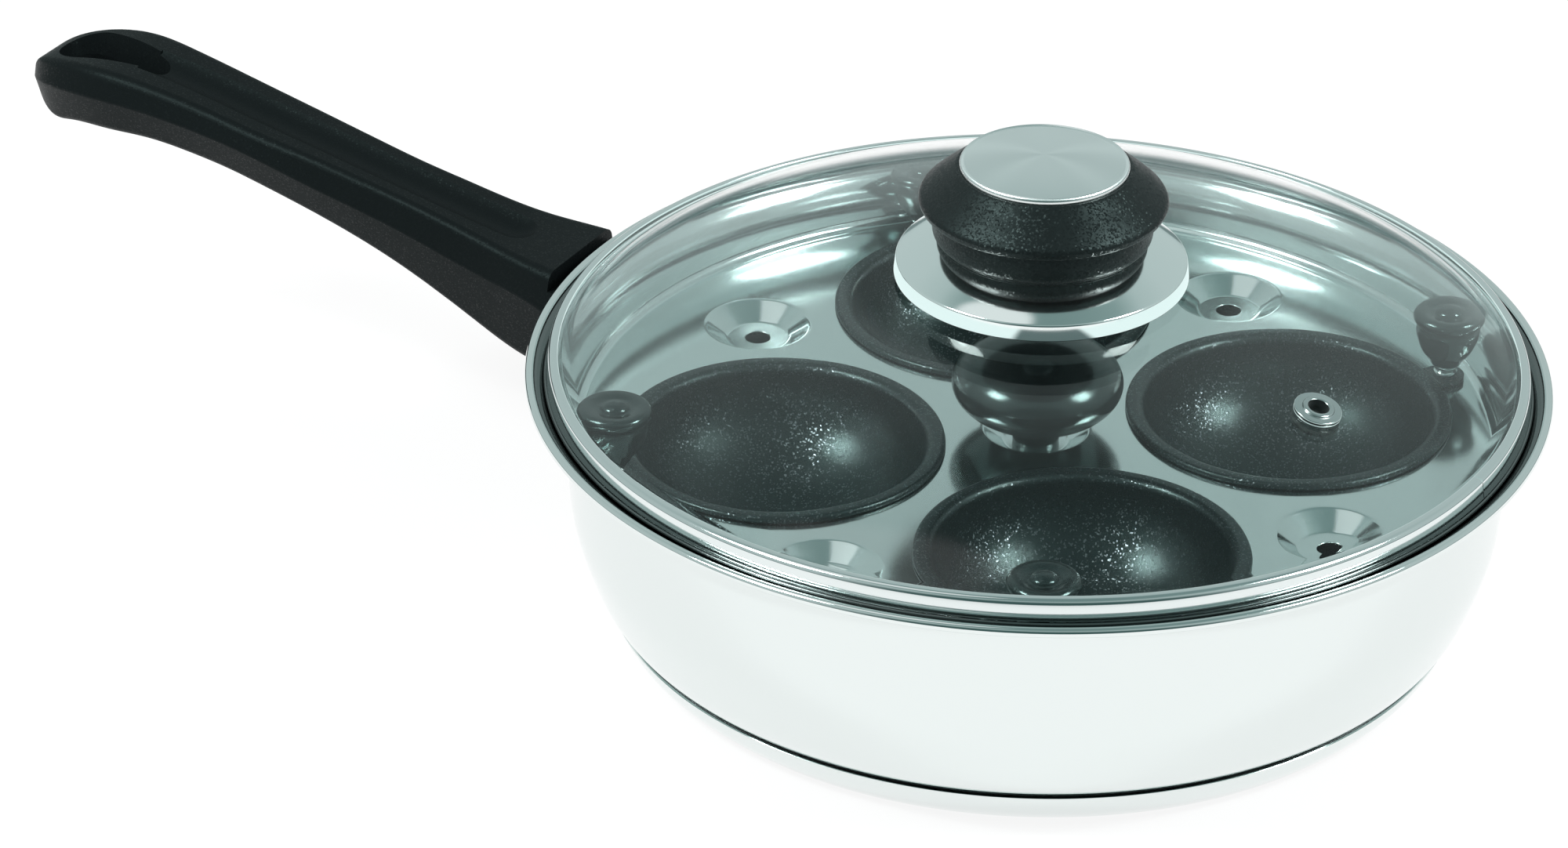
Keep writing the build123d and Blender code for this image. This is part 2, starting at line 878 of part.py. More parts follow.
def teardrop(big, small, level):
    reach = handle_reach - slot_end_inset
    left = Pos(-reach, 0, 0) * Circle(big)
    right = Pos(slot_length - reach, 0, 0) * Circle(small)
    shape = make_hull((left + right).edges())
    return Pos(0, 0, level) * shape


def trough_cutter():
    rise = trough_radius - trough_depth
    length = handle_reach - handle_root
    spots = []
    for i in range(trough_spots):
        share = trough_start_share + (trough_stop_share - trough_start_share) * i / (trough_spots - 1)
        reach = handle_root + share * length
        spots.append((-reach, 0, handle_top(reach) + rise))
    path = Spline(*spots)
    start = Plane(origin=path @ 0, z_dir=path % 0)
    tube = sweep(start * Circle(trough_radius), path=path)
    ball = Pos(*spots[0]) * Sphere(trough_radius)
    return tube + ball


def handle_grip():
    grip = loft([handle_section(s) for s in handle_shares])
    grip -= pan_envelope()
    end_level = handle_seat_height + handle_depth - handle_end_drop
    block = Pos(-handle_end_reach, 0, end_level)
    grip -= block * Box(
        handle_end_reach,
        handle_half_width * cutter_reach,
        handle_depth * 2,
        align=(Align.MIN, Align.CENTER, Align.MIN),
    )
    grip -= trough_cutter()
    hole = extrude(teardrop(slot_big_radius, slot_small_radius, 0), amount=slot_lip_height * 2)
    wide = teardrop(slot_big_radius + slot_lip_growth, slot_small_radius + slot_lip_growth, slot_lip_height)
    narrow = teardrop(slot_big_radius, slot_small_radius, slot_lip_height - slot_lip_depth)
    grip -= hole
    grip -= loft([narrow, wide])
    grip -= tongue(tongue_clearance)
    return grip - handle_screw_space()


def tongue(growth):
    length = tongue_reach - wall_radius
    size = Box(
        length + growth,
        tongue_width + 2 * growth,
        tongue_thickness + 2 * growth,
        align=(Align.MAX, Align.CENTER, Align.CENTER),
    )
    pad = bracket_pad(growth)
    return Pos(-wall_radius, 0, tongue_height) * size + pad


def bracket_pad(growth):
    low = bracket_pad_low - growth
    high = bracket_pad_high + growth
    ring = Cylinder(wall_radius + bracket_pad_thickness + growth, high - low)
    ring = Pos(0, 0, (low + high) / 2) * (ring - Cylinder(wall_radius, high - low))
    window = Pos(-wall_radius, 0, (low + high) / 2) * Box(
        wall_radius, 2 * (bracket_pad_half_width + growth), high - low
    )
    return ring & window


def handle_bracket():
    hole = Cylinder(handle_screw_radius, tongue_thickness * 2)
    return tongue(0) - Pos(-handle_screw_reach, 0, tongue_height) * hole


def handle_underside(reach):
    rows = [handle_station(s) for s in handle_shares]
    for a, b in zip(rows, rows[1:]):
        if a[0] <= reach <= b[0]:
            return a[2][2] + (b[2][2] - a[2][2]) * (reach - a[0]) / (b[0] - a[0])
    return rows[-1][2][2]


def handle_screw_space():
    low = handle_underside(handle_screw_reach)
    seat = low + handle_screw_sink
    reach = tongue_height + tongue_thickness
    sink = Cylinder(
        handle_screw_head_radius + fit_gap,
        handle_depth,
        align=(Align.CENTER, Align.CENTER, Align.MAX),
    )
    shank = Cylinder(
        handle_screw_radius + fit_gap,
        reach - seat,
        align=(Align.CENTER, Align.CENTER, Align.MIN),
    )
    return Pos(-handle_screw_reach, 0, seat) * (sink + shank)


def handle_screw():
    seat = handle_underside(handle_screw_reach) + handle_screw_sink
    low = seat - handle_screw_head_height
    tip = tongue_height + tongue_thickness - fit_gap
    points = [
        (0, low),
        (handle_screw_head_radius, low),
        (handle_screw_head_radius, seat),
        (handle_screw_radius, seat),
        (handle_screw_radius, tip),
        (0, tip),
    ]
    screw = outline_ring(points, (0, handle_screw_head_height / 3, 0, 0, 0, 0))
    return Pos(-handle_screw_reach, 0, 0) * screw


save(pan_body(), "pan_body")
save(base_capsule(), "base_capsule")
save(base_core(), "base_core")
save(poacher_tray(), "poacher_tray")
save(tray_knob(), "tray_knob")
save(tray_knob_washer(), "tray_knob_washer")
save(tray_knob_screw(), "tray_knob_screw")
for index, side in enumerate(names):
    angle = cup_angle(index)
    turn = cup_turns_deg[side]
    place = Rot(0, 0, angle) * Pos(cup_orbit, 0, 0)
    knob_place = place * Rot(0, 0, turn) * Pos(ear_reach, 0, 0)
    save(place * cup_shell(turn), f"cup_{side}")
    save(knob_place * ferrule(), f"cup_{side}_ferrule")
    save(knob_place * cup_knob(), f"cup_{side}_knob")
save(lid_band(), "lid_band")
save(lid_glass(), "lid_glass")
save(vent_eyelet(), "vent_eyelet")
save(vent_washer(), "vent_washer")
save(lid_knob_skirt(), "lid_knob_skirt")
save(lid_knob(), "lid_knob")
save(lid_knob_cap(), "lid_knob_cap")
save(lid_knob_washer(), "lid_knob_washer")
save(lid_knob_screw(), "lid_knob_screw")
save(handle_grip(), "handle_grip")
save(handle_bracket(), "handle_bracket")
save(handle_screw(), "handle_screw")
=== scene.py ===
import math

import bmesh
import bpy
import numpy as np
from mathutils import Matrix, Vector


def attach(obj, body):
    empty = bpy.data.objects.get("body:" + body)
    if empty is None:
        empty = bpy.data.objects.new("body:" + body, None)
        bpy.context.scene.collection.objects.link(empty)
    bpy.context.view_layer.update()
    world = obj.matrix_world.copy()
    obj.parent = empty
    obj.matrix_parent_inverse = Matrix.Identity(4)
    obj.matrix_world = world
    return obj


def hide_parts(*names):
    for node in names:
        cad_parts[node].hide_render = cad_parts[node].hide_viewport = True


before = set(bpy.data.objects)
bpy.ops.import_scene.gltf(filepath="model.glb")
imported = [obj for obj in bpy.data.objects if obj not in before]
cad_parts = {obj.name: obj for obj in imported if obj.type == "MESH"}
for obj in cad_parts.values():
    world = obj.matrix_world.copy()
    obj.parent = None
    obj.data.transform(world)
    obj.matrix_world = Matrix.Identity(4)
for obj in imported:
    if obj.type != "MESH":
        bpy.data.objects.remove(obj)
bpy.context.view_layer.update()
mm = 0.001

print("stage: shape helpers")


def spot(centre, radius, deg):
    a = math.radians(deg)
    return (centre[0] + radius * math.cos(a), centre[1] + radius * math.sin(a))


def arc(centre, radius, fromDeg, toDeg, step=6):
    count = max(2, int(abs(toDeg - fromDeg) / step) + 1)
    return [spot(centre, radius, fromDeg + (toDeg - fromDeg) * i / count) for i in range(count + 1)]


def smoothLine(points, pieces=12):
    # natural cubic through the points, sampled by chord length
    given = np.array(points, dtype=float)
    chord = np.concatenate([[0], np.cumsum(np.linalg.norm(np.diff(given, axis=0), axis=1))])
    n = len(given)
    gap = np.diff(chord)
    matrix = np.zeros((n, n))
    right = np.zeros_like(given)
    matrix[0, 0] = matrix[-1, -1] = 1
    for i in range(1, n - 1):
        matrix[i, i - 1 : i + 2] = gap[i - 1], 2 * (gap[i - 1] + gap[i]), gap[i]
        right[i] = 6 * ((given[i + 1] - given[i]) / gap[i] - (given[i] - given[i - 1]) / gap[i - 1])
    bend = np.linalg.solve(matrix, right)
    made = []
    for i in range(n - 1):
        for t in np.linspace(0, gap[i], pieces, endpoint=False):
            a, b, h = gap[i] - t, t, gap[i]
            value = (bend[i] * a**3 + bend[i + 1] * b**3) / (6 * h)
            value += (given[i] / h - bend[i] * h / 6) * a + (given[i + 1] / h - bend[i + 1] * h / 6) * b
            made.append(tuple(value))
    made.append(tuple(given[-1]))
    return made


def offsetLine(points, distance):
    given = np.array(points, dtype=float)
    ahead = np.vstack([given[1:], given[-1:]])
    behind = np.vstack([given[:1], given[:-1]])
    run = ahead - behind
    run /= np.linalg.norm(run, axis=1)[:, None]
    return [tuple(p) for p in given + distance * np.column_stack([-run[:, 1], run[:, 0]])]


def rounded(points, radii, step=10, closed=True):
    # polygon with arcs in place of its corners
    made = []
    n = len(points)
    for i, (point, radius) in enumerate(zip(points, radii)):
        if not radius:
            made.append(tuple(point))
            continue
        p = Vector(point)
        a = (Vector(points[i - 1]) - p).normalized()
        b = (Vector(points[(i + 1) % n]) - p).normalized()
        half = a.angle(b) / 2
        reach = radius / math.tan(half)
        centre = p + (a + b).normalized() * (radius / math.sin(half))
        start, stop = p + a * reach - centre, p + b * reach - centre
        turn = math.atan2(start.x * stop.y - start.y * stop.x, start.dot(stop))
        count = max(2, int(abs(math.degrees(turn)) / step) + 1)
        for k in range(count + 1):
            t = turn * k / count
            made.append(
                (
                    centre.x + start.x * math.cos(t) - start.y * math.sin(t),
                    centre.y + start.x * math.sin(t) + start.y * math.cos(t),
                )
            )
    return made


def cleaned(outline, nearest=1e-4):
    kept = [outline[0]]
    for point in outline[1:]:
        if math.dist(point, kept[-1]) > nearest:
            kept.append(point)
    if math.dist(kept[0], kept[-1]) < nearest:
        kept.pop()
    return kept


def newObject(name, mesh, material, sharpDeg=32):
    obj = bpy.data.objects.new(name, mesh)
    bpy.context.scene.collection.objects.link(obj)
    mesh.materials.clear()
    mesh.materials.append(material)
    mesh.polygons.foreach_set("use_smooth", [True] * len(mesh.polygons))
    mesh.set_sharp_from_angle(angle=math.radians(sharpDeg))
    return obj


def lathe(name, outline, material, segments=192, gap=None, place=None, sharpDeg=32):
    # closed outline in mm turned about the axis, with UV round and along the outline
    line = cleaned(outline)
    area = sum(a[0] * b[1] - b[0] * a[1] for a, b in zip(line, line[1:] + line[:1]))
    if area < 0:
        line.reverse()
    full = gap is None
    first, sweep = (0, 360) if full else gap
    turns = segments if full else segments + 1
    bm = bmesh.new()
    uv = bm.loops.layers.uv.new("UVMap")
    rings = []
    for r, z in line:
        if r < 1e-6:
            rings.append([bm.verts.new((0, 0, z * mm))])
            continue
        ring = []
        for k in range(turns):
            a = math.radians(first + sweep * k / segments)
            ring.append(bm.verts.new((r * mm * math.cos(a), r * mm * math.sin(a), z * mm)))
        rings.append(ring)
    n = len(line)
    for i in range(n):
        low, high = rings[i], rings[(i + 1) % n]
        if len(low) == 1 and len(high) == 1:
            continue
        for k in range(segments):
            m = (k + 1) % turns
            if len(low) == 1:
                corners = [low[0], high[m], high[k]]
                across = [(k + 0.5, i), (k + 1, i + 1), (k, i + 1)]
            elif len(high) == 1:
                corners = [low[k], low[m], high[0]]
                across = [(k, i), (k + 1, i), (k + 0.5, i + 1)]
            else:
                corners = [low[k], low[m], high[m], high[k]]
                across = [(k, i), (k + 1, i), (k + 1, i + 1), (k, i + 1)]
            face = bm.faces.new(corners)
            for loop, (u, v) in zip(face.loops, across):
                loop[uv].uv = (u / segments, v / n)
    if not full:
        bm.faces.new([ring[0] for ring in rings])
        bm.faces.new([ring[-1] for ring in reversed(rings)])
    bmesh.ops.recalc_face_normals(bm, faces=bm.faces)
    mesh = bpy.data.meshes.new(name)
    bm.to_mesh(mesh)
    bm.free()
    if place is not None:
        mesh.transform(place)
    return newObject(name, mesh, material, sharpDeg)


def recoloured(obj, material, chosen, place=Matrix()):
    # second material on the faces picked by radius and height in mm and the normal
    obj.data.materials.append(material)
    back = place.inverted()
    for face in obj.data.polygons:
        x, y, z = (back @ face.center) / mm
        if chosen(math.hypot(x, y), z, face.normal):
            face.material_index = len(obj.data.materials) - 1


def joined(name, parts):
    # one mesh out of several objects, which are removed
    bm = bmesh.new()
    for part in parts:
        bm.from_mesh(part.data)
    mesh = bpy.data.meshes.new(name)
    bm.to_mesh(mesh)
    bm.free()
    for material in parts[0].data.materials:
        mesh.materials.append(material)
    obj = bpy.data.objects.new(name, mesh)
    bpy.context.scene.collection.objects.link(obj)
    for part in parts:
        bpy.data.objects.remove(part)
    return obj


print("stage: shared node groups")


def addSocket(tree, name, kind, default=None, out=False):
    socket = tree.interface.new_socket(name, in_out="OUTPUT" if out else "INPUT", socket_type=kind)
    if default is not None:
        socket.default_value = default
    return socket


def addNode(tree, kind, settings=None, inputs=None):
    node = tree.nodes.new(kind)
    for key, value in (settings or {}).items():
        setattr(node, key, value)
    for key, value in (inputs or {}).items():
        socket = node.inputs[key]
        if isinstance(value, bpy.types.NodeSocket):
            tree.links.new(value, socket)
        else:
            socket.default_value = value
    return node


def mathNode(tree, operation, a, b=0.0, c=None, clamp=False):
    inputs = {0: a, 1: b}
    if c is not None:
        inputs[2] = c
    return addNode(tree, "ShaderNodeMath", {"operation": operation, "use_clamp": clamp}, inputs).outputs[0]


def vectorNode(tree, operation, inputs):
    return addNode(tree, "ShaderNodeVectorMath", {"operation": operation}, inputs)


def smoothStep(tree, value, start, stop, low=0.0, high=1.0):
    inputs = {"Value": value, "From Min": start, "From Max": stop, "To Min": low, "To Max": high}
    return addNode(tree, "ShaderNodeMapRange", {"interpolation_type": "SMOOTHSTEP"}, inputs)


def mixedShader(tree, factor, a, b):
    inputs = {"Fac": factor, 1: a.outputs[0], 2: b.outputs[0]}
    return addNode(tree, "ShaderNodeMixShader", inputs=inputs)


def shaderGroup(name, inputs, outputs):
    tree = bpy.data.node_groups.new(name, "ShaderNodeTree")
    for title, kind, default in inputs:
        addSocket(tree, title, kind, default)
    for title, kind in outputs:
        addSocket(tree, title, kind, out=True)
    return tree, tree.nodes.new("NodeGroupInput"), tree.nodes.new("NodeGroupOutput")


# fine moulded or rolled skin, as a height and a spread of roughness
skinGroup, groupIn, groupOut = shaderGroup(
    "fineSkin",
    [
        ("Scale", "NodeSocketFloat", 2500.0),
        ("Smudge Scale", "NodeSocketFloat", 30.0),
        ("Roughness", "NodeSocketFloat", 0.3),
        ("Spread", "NodeSocketFloat", 0.05),
    ],
    [("Height", "NodeSocketFloat"), ("Roughness", "NodeSocketFloat")],
)
place = addNode(skinGroup, "ShaderNodeTexCoord")
fine = addNode(
    skinGroup,
    "ShaderNodeTexNoise",
    inputs={
        "Vector": place.outputs["Object"],
        "Scale": groupIn.outputs["Scale"],
        "Detail": 2.0,
        "Roughness": 0.55,
    },
)
smudge = addNode(
    skinGroup,
    "ShaderNodeTexNoise",
    inputs={"Vector": place.outputs["Object"], "Scale": groupIn.outputs["Smudge Scale"], "Detail": 4.0},
)
centred = mathNode(skinGroup, "SUBTRACT", smudge.outputs["Fac"], 0.5)
spread = mathNode(skinGroup, "MULTIPLY", centred, groupIn.outputs["Spread"])
total = mathNode(skinGroup, "ADD", spread, groupIn.outputs["Roughness"], clamp=True)
skinGroup.links.new(fine.outputs["Fac"], groupOut.inputs["Height"])
skinGroup.links.new(total, groupOut.inputs["Roughness"])

# circular turning lines about the pan's axis
turnedGroup, groupIn, groupOut = shaderGroup(
    "turnedLines",
    [("Lines Per Metre", "NodeSocketFloat", 900.0), ("Waviness", "NodeSocketFloat", 3.0)],
    [("Height", "NodeSocketFloat"), ("Wave", "NodeSocketFloat")],
)
place = addNode(turnedGroup, "ShaderNodeTexCoord")
parted = addNode(turnedGroup, "ShaderNodeSeparateXYZ", inputs={"Vector": place.outputs["Object"]})
squareX = mathNode(turnedGroup, "MULTIPLY", parted.outputs["X"], parted.outputs["X"])
squareSum = mathNode(turnedGroup, "MULTIPLY_ADD", parted.outputs["Y"], parted.outputs["Y"], squareX)
radius = mathNode(turnedGroup, "SQRT", squareSum)
level = mathNode(turnedGroup, "ADD", radius, parted.outputs["Z"])
lined = addNode(turnedGroup, "ShaderNodeCombineXYZ", inputs={"X": level})
lines = addNode(
    turnedGroup,
    "ShaderNodeTexNoise",
    inputs={
        "Vector": lined.outputs["Vector"],
        "Scale": groupIn.outputs["Lines Per Metre"],
        "Detail": 3.0,
        "Roughness": 0.6,
    },
)
waves = addNode(
    turnedGroup,
    "ShaderNodeTexNoise",
    inputs={"Vector": place.outputs["Object"], "Scale": groupIn.outputs["Waviness"], "Detail": 1.0},
)
turnedGroup.links.new(lines.outputs["Fac"], groupOut.inputs["Height"])
turnedGroup.links.new(waves.outputs["Fac"], groupOut.inputs["Wave"])

# specks of a coat or a moulded grain, each with its own chance and tilt
flakeGroup, groupIn, groupOut = shaderGroup(
    "tiltedSpecks",
    [
        ("Scale", "NodeSocketFloat", 2600.0),
        ("Share", "NodeSocketFloat", 0.2),
        ("Tilt", "NodeSocketFloat", 0.4),
    ],
    [("Mask", "NodeSocketFloat"), ("Normal", "NodeSocketVector")],
)
place = addNode(flakeGroup, "ShaderNodeTexCoord")
cells = addNode(
    flakeGroup,
    "ShaderNodeTexVoronoi",
    {"feature": "F1"},
    {"Vector": place.outputs["Object"], "Scale": groupIn.outputs["Scale"]},
)
chance = addNode(flakeGroup, "ShaderNodeSeparateColor", inputs={"Color": cells.outputs["Color"]})
picked = mathNode(flakeGroup, "LESS_THAN", chance.outputs["Red"], groupIn.outputs["Share"])
centred = vectorNode(flakeGroup, "SUBTRACT", {0: cells.outputs["Color"], 1: (0.5, 0.5, 0.5)})
lean = mathNode(flakeGroup, "MULTIPLY", picked, groupIn.outputs["Tilt"])
leaning = vectorNode(flakeGroup, "SCALE", {0: centred.outputs[0], "Scale": lean})
surface = addNode(flakeGroup, "ShaderNodeNewGeometry")
leant = vectorNode(flakeGroup, "ADD", {0: surface.outputs["Normal"], 1: leaning.outputs[0]})
unit = vectorNode(flakeGroup, "NORMALIZE", {0: leant.outputs[0]})
flakeGroup.links.new(picked, groupOut.inputs["Mask"])
flakeGroup.links.new(unit.outputs[0], groupOut.inputs["Normal"])

print("stage: materials")


def newMaterial(name):
    material = bpy.data.materials.new(name)
    material.use_nodes = True
    tree = material.node_tree
    tree.nodes.clear()
    output = tree.nodes.new("ShaderNodeOutputMaterial")
    return material, tree, output


def useGroup(tree, group, values):
    node = tree.nodes.new("ShaderNodeGroup")
    node.node_tree = group
    for key, value in values.items():
        node.inputs[key].default_value = value
    return node


def bumpNode(tree, height, strength, distance, normal=None):
    inputs = {"Height": height, "Strength": strength, "Distance": distance}
    if normal is not None:
        inputs["Normal"] = normal
    return addNode(tree, "ShaderNodeBump", inputs=inputs).outputs["Normal"]


def steelMaterial(name, look):
    material, tree, output = newMaterial(name)
    skin = useGroup(
        tree,
        skinGroup,
        {"Scale": 900.0, "Smudge Scale": 22.0, "Roughness": look["roughness"], "Spread": look["spread"]},
    )
    turned = useGroup(tree, turnedGroup, {"Lines Per Metre": look["lines"], "Waviness": look["waviness"]})
    normal = bumpNode(tree, turned.outputs["Wave"], 1.0, look["waveDepth"])
    normal = bumpNode(tree, turned.outputs["Height"], 1.0, look["lineDepth"], normal)
    shader = addNode(
        tree,
        "ShaderNodeBsdfPrincipled",
        inputs={
            "Base Color": (*look["colour"], 1),
            "Metallic": 1.0,
            "Roughness": skin.outputs["Roughness"],
            "Normal": normal,
            "Anisotropic": look.get("anisotropy", 0.0),
        },
    )
    if look.get("anisotropy"):
        tangent = addNode(tree, "ShaderNodeTangent", {"direction_type": "UV_MAP", "uv_map": "UVMap"})
        tree.links.new(tangent.outputs["Tangent"], shader.inputs["Tangent"])
    tree.links.new(shader.outputs[0], output.inputs["Surface"])
    return material


def moulded(name, look):
    material, tree, output = newMaterial(name)
    skin = useGroup(
        tree,
        skinGroup,
        {
            "Scale": look["grain"],
            "Smudge Scale": 40.0,
            "Roughness": look["roughness"],
            "Spread": look["spread"],
        },
    )
    speckled = {"Scale": look["grain"], "Share": look["share"], "Tilt": look["tilt"]}
    specks = useGroup(tree, flakeGroup, speckled)
    normal = bumpNode(tree, skin.outputs["Height"], 1.0, look["depth"], specks.outputs["Normal"])
    shader = addNode(
        tree,
        "ShaderNodeBsdfPrincipled",
        inputs={
            "Base Color": (*look["colour"], 1),
            "Roughness": skin.outputs["Roughness"],
            "Specular IOR Level": look["specular"],
            "Specular Tint": (0.72, 0.98, 0.96, 1),
            "Normal": normal,
        },
    )
    tree.links.new(shader.outputs[0], output.inputs["Surface"])
    return material


plainSteel = {"spread": 0.04, "lines": 1500.0, "lineDepth": 0.0, "waviness": 20.0, "waveDepth": 0.0}
steelLooks = {
    "outerSteel": {
        "colour": (0.80, 0.845, 0.835), "roughness": 0.07, "spread": 0.03, "lines": 700.0,
        "lineDepth": 0.0000012, "waviness": 9.0, "waveDepth": 0.00012,
    },
    "innerSteel": {
        "colour": (0.70, 0.775, 0.77), "roughness": 0.13, "spread": 0.06, "lines": 1100.0,
        "lineDepth": 0.000004, "waviness": 12.0, "waveDepth": 0.0003,
    },
    "capSteel": {
        "colour": (0.84, 0.885, 0.88), "roughness": 0.26, "spread": 0.05, "lines": 3500.0,
        "lineDepth": 0.000004, "waviness": 9.0, "anisotropy": 0.75,
    },
    # dark steel that paints the shade in the crevice between the lid band and the rolled rims
    "paintedCreviceShade": {
        "colour": (0.17, 0.19, 0.188), "roughness": 0.12, "lineDepth": 0.000002,
        "waveDepth": 0.00005,
    },
    "trimSteel": {
        "colour": (0.77, 0.82, 0.815), "roughness": 0.09, "lineDepth": 0.000002,
        "waveDepth": 0.00005,
    },
    "skirtSteel": {
        "colour": (0.88, 0.935, 0.925), "roughness": 0.1, "lineDepth": 0.0000012,
    },
    "eyeletSteel": {
        "colour": (0.50, 0.56, 0.555), "roughness": 0.2, "spread": 0.03,
    },
    "satinSteel": {
        "colour": (0.60, 0.61, 0.62), "roughness": 0.34, "spread": 0.08, "lines": 2400.0,
        "lineDepth": 0.00001,
    },
    "coreAluminium": {
        "colour": (0.68, 0.69, 0.70), "roughness": 0.4, "spread": 0.08, "lineDepth": 0.00001,
    },
}
steels = {name: steelMaterial(name, {**plainSteel, **look}) for name, look in steelLooks.items()}

mouldedLooks = {
    "handleBlack": {
        "colour": (0.0050, 0.0066, 0.0070),
        "roughness": 0.40,
        "spread": 0.08,
        "grain": 3400.0,
        "share": 0.3,
        "tilt": 0.3,
        "depth": 0.00001,
        "specular": 0.06,
    },
    "knobBlack": {
        "colour": (0.0050, 0.0065, 0.0068),
        "roughness": 0.40,
        "spread": 0.03,
        "grain": 3000.0,
        "share": 0.5,
        "tilt": 0.55,
        "depth": 0.000004,
        "specular": 0.23,
    },
    "glossBlack": {
        "colour": (0.0046, 0.0060, 0.0063),
        "roughness": 0.17,
        "spread": 0.02,
        "grain": 1500.0,
        "share": 0.0,
        "tilt": 0.0,
        "depth": 0.000001,
        "specular": 0.8,
    },
    # black rubber of the washers, also used as painted shade under the knob skirt and in the vent eyelet's
    # recesses
    "rubberAndPaintedShade": {
        "colour": (0.006, 0.0065, 0.0065),
        "roughness": 0.6,
        "spread": 0.1,
        "grain": 2200.0,
        "share": 0.0,
        "tilt": 0.0,
        "depth": 0.00004,
        "specular": 0.2,
    },
}
blacks = {name: moulded(name, look) for name, look in mouldedLooks.items()}

coatLook = {
    "colour": (0.0052, 0.0072, 0.0078),
    "flake": (0.09, 0.105, 0.11),
    "flakeScale": 3400.0,
    "flakeShare": 0.12,
    "flakeTilt": 0.3,
    "roughness": 0.29,
    "specular": 0.32,
    "skin": 1800.0,
    "skinDepth": 0.000003,
}
coat, tree, output = newMaterial("nonstickCoat")
flakes = useGroup(
    tree,
    flakeGroup,
    {"Scale": coatLook["flakeScale"], "Share": coatLook["flakeShare"], "Tilt": coatLook["flakeTilt"]},
)
skin = useGroup(
    tree,
    skinGroup,
    {"Scale": coatLook["skin"], "Smudge Scale": 45.0, "Roughness": coatLook["roughness"], "Spread": 0.08},
)
colour = addNode(
    tree,
    "ShaderNodeMix",
    {"data_type": "RGBA"},
    {"Factor": flakes.outputs["Mask"], 6: (*coatLook["colour"], 1), 7: (*coatLook["flake"], 1)},
)
bumped = bumpNode(tree, skin.outputs["Height"], 1.0, coatLook["skinDepth"], flakes.outputs["Normal"])
shader = addNode(
    tree,
    "ShaderNodeBsdfPrincipled",
    inputs={
        "Base Color": colour.outputs[2],
        "Metallic": flakes.outputs["Mask"],
        "Roughness": skin.outputs["Roughness"],
        "Specular IOR Level": coatLook["specular"],
        "Specular Tint": (0.72, 0.98, 0.96, 1),
        "Normal": bumped,
    },
)
tree.links.new(shader.outputs[0], output.inputs["Surface"])

glassLook = {
    "colour": (0.94, 0.965, 0.96),
    "specular": 0.08,
    "shadow": (0.86, 0.9, 0.89),
    # pale glow and its dark side are a painted reflection, seen in mirror rays only
    "paintedTable": (0.86, 1.0, 0.99),
    "shade": (0.12, 0.17, 0.17),
    "shadeFacing": (0.532, -0.847, 0.0),
    "quietReach": (0.038, 0.046),
    "shadeEdge": (0.95, 0.972),
}
lidGlassMaterial, tree, output = newMaterial("temperedGlass")
skin = useGroup(tree, skinGroup, {"Scale": 12.0, "Smudge Scale": 35.0, "Roughness": 0.0, "Spread": 0.012})
shader = addNode(
    tree,
    "ShaderNodeBsdfPrincipled",
    inputs={
        "Base Color": (*glassLook["colour"], 1),
        "Roughness": skin.outputs["Roughness"],
        "IOR": 1.5,
        "Specular IOR Level": glassLook["specular"],
        "Specular Tint": (0.5, 0.5, 0.5, 1),
        "Transmission Weight": 1.0,
        "Normal": bumpNode(tree, skin.outputs["Height"], 1.0, 0.00003),
    },
)
clear = addNode(tree, "ShaderNodeBsdfTransparent", inputs={"Color": (*glassLook["shadow"], 1)})
path = addNode(tree, "ShaderNodeLightPath")
isDim = mathNode(tree, "MAXIMUM", path.outputs["Is Shadow Ray"], path.outputs["Is Diffuse Ray"])
mixed = mixedShader(tree, isDim, shader, clear)
# glossy rays meeting the glass's upper face from outside see an emission: pale, turning dark on the side
# towards the camera; a painted reflection shown by the steel above
face = addNode(tree, "ShaderNodeNewGeometry")
upward = addNode(tree, "ShaderNodeSeparateXYZ", inputs={"Vector": face.outputs["Normal"]})
upper = mathNode(tree, "GREATER_THAN", upward.outputs["Z"], 0.5)
outside = mathNode(tree, "MULTIPLY", upper, mathNode(tree, "SUBTRACT", 1.0, face.outputs["Backfacing"]))
metAbove = mathNode(tree, "MULTIPLY", outside, path.outputs["Is Glossy Ray"])
place = addNode(tree, "ShaderNodeTexCoord")
flat = vectorNode(tree, "MULTIPLY", {0: place.outputs["Object"], 1: (1, 1, 0)})
fromAxis = vectorNode(tree, "LENGTH", {0: flat.outputs[0]})
quiet = smoothStep(tree, fromAxis.outputs["Value"], *glassLook["quietReach"], 1.0, 0.0)
bent = addNode(tree, "ShaderNodeBsdfRefraction", inputs={"Color": (*glassLook["colour"], 1), "IOR": 1.5})
quietView = mathNode(tree, "MULTIPLY", quiet.outputs[0], path.outputs["Is Camera Ray"])
mixed = mixedShader(tree, quietView, mixed, bent)
flat = vectorNode(tree, "NORMALIZE", {0: flat.outputs[0]})
facing = vectorNode(tree, "DOT_PRODUCT", {0: flat.outputs[0], 1: glassLook["shadeFacing"]})
shade = smoothStep(tree, facing.outputs["Value"], *glassLook["shadeEdge"])
paintedTableView = addNode(
    tree,
    "ShaderNodeMix",
    {"data_type": "RGBA"},
    {"Factor": shade.outputs[0], 6: (*glassLook["paintedTable"], 1), 7: (*glassLook["shade"], 1)},
)
pale = addNode(tree, "ShaderNodeEmission", inputs={"Color": paintedTableView.outputs[2], "Strength": 1.0})
above = mixedShader(tree, metAbove, mixed, pale)
tree.links.new(above.outputs[0], output.inputs["Surface"])

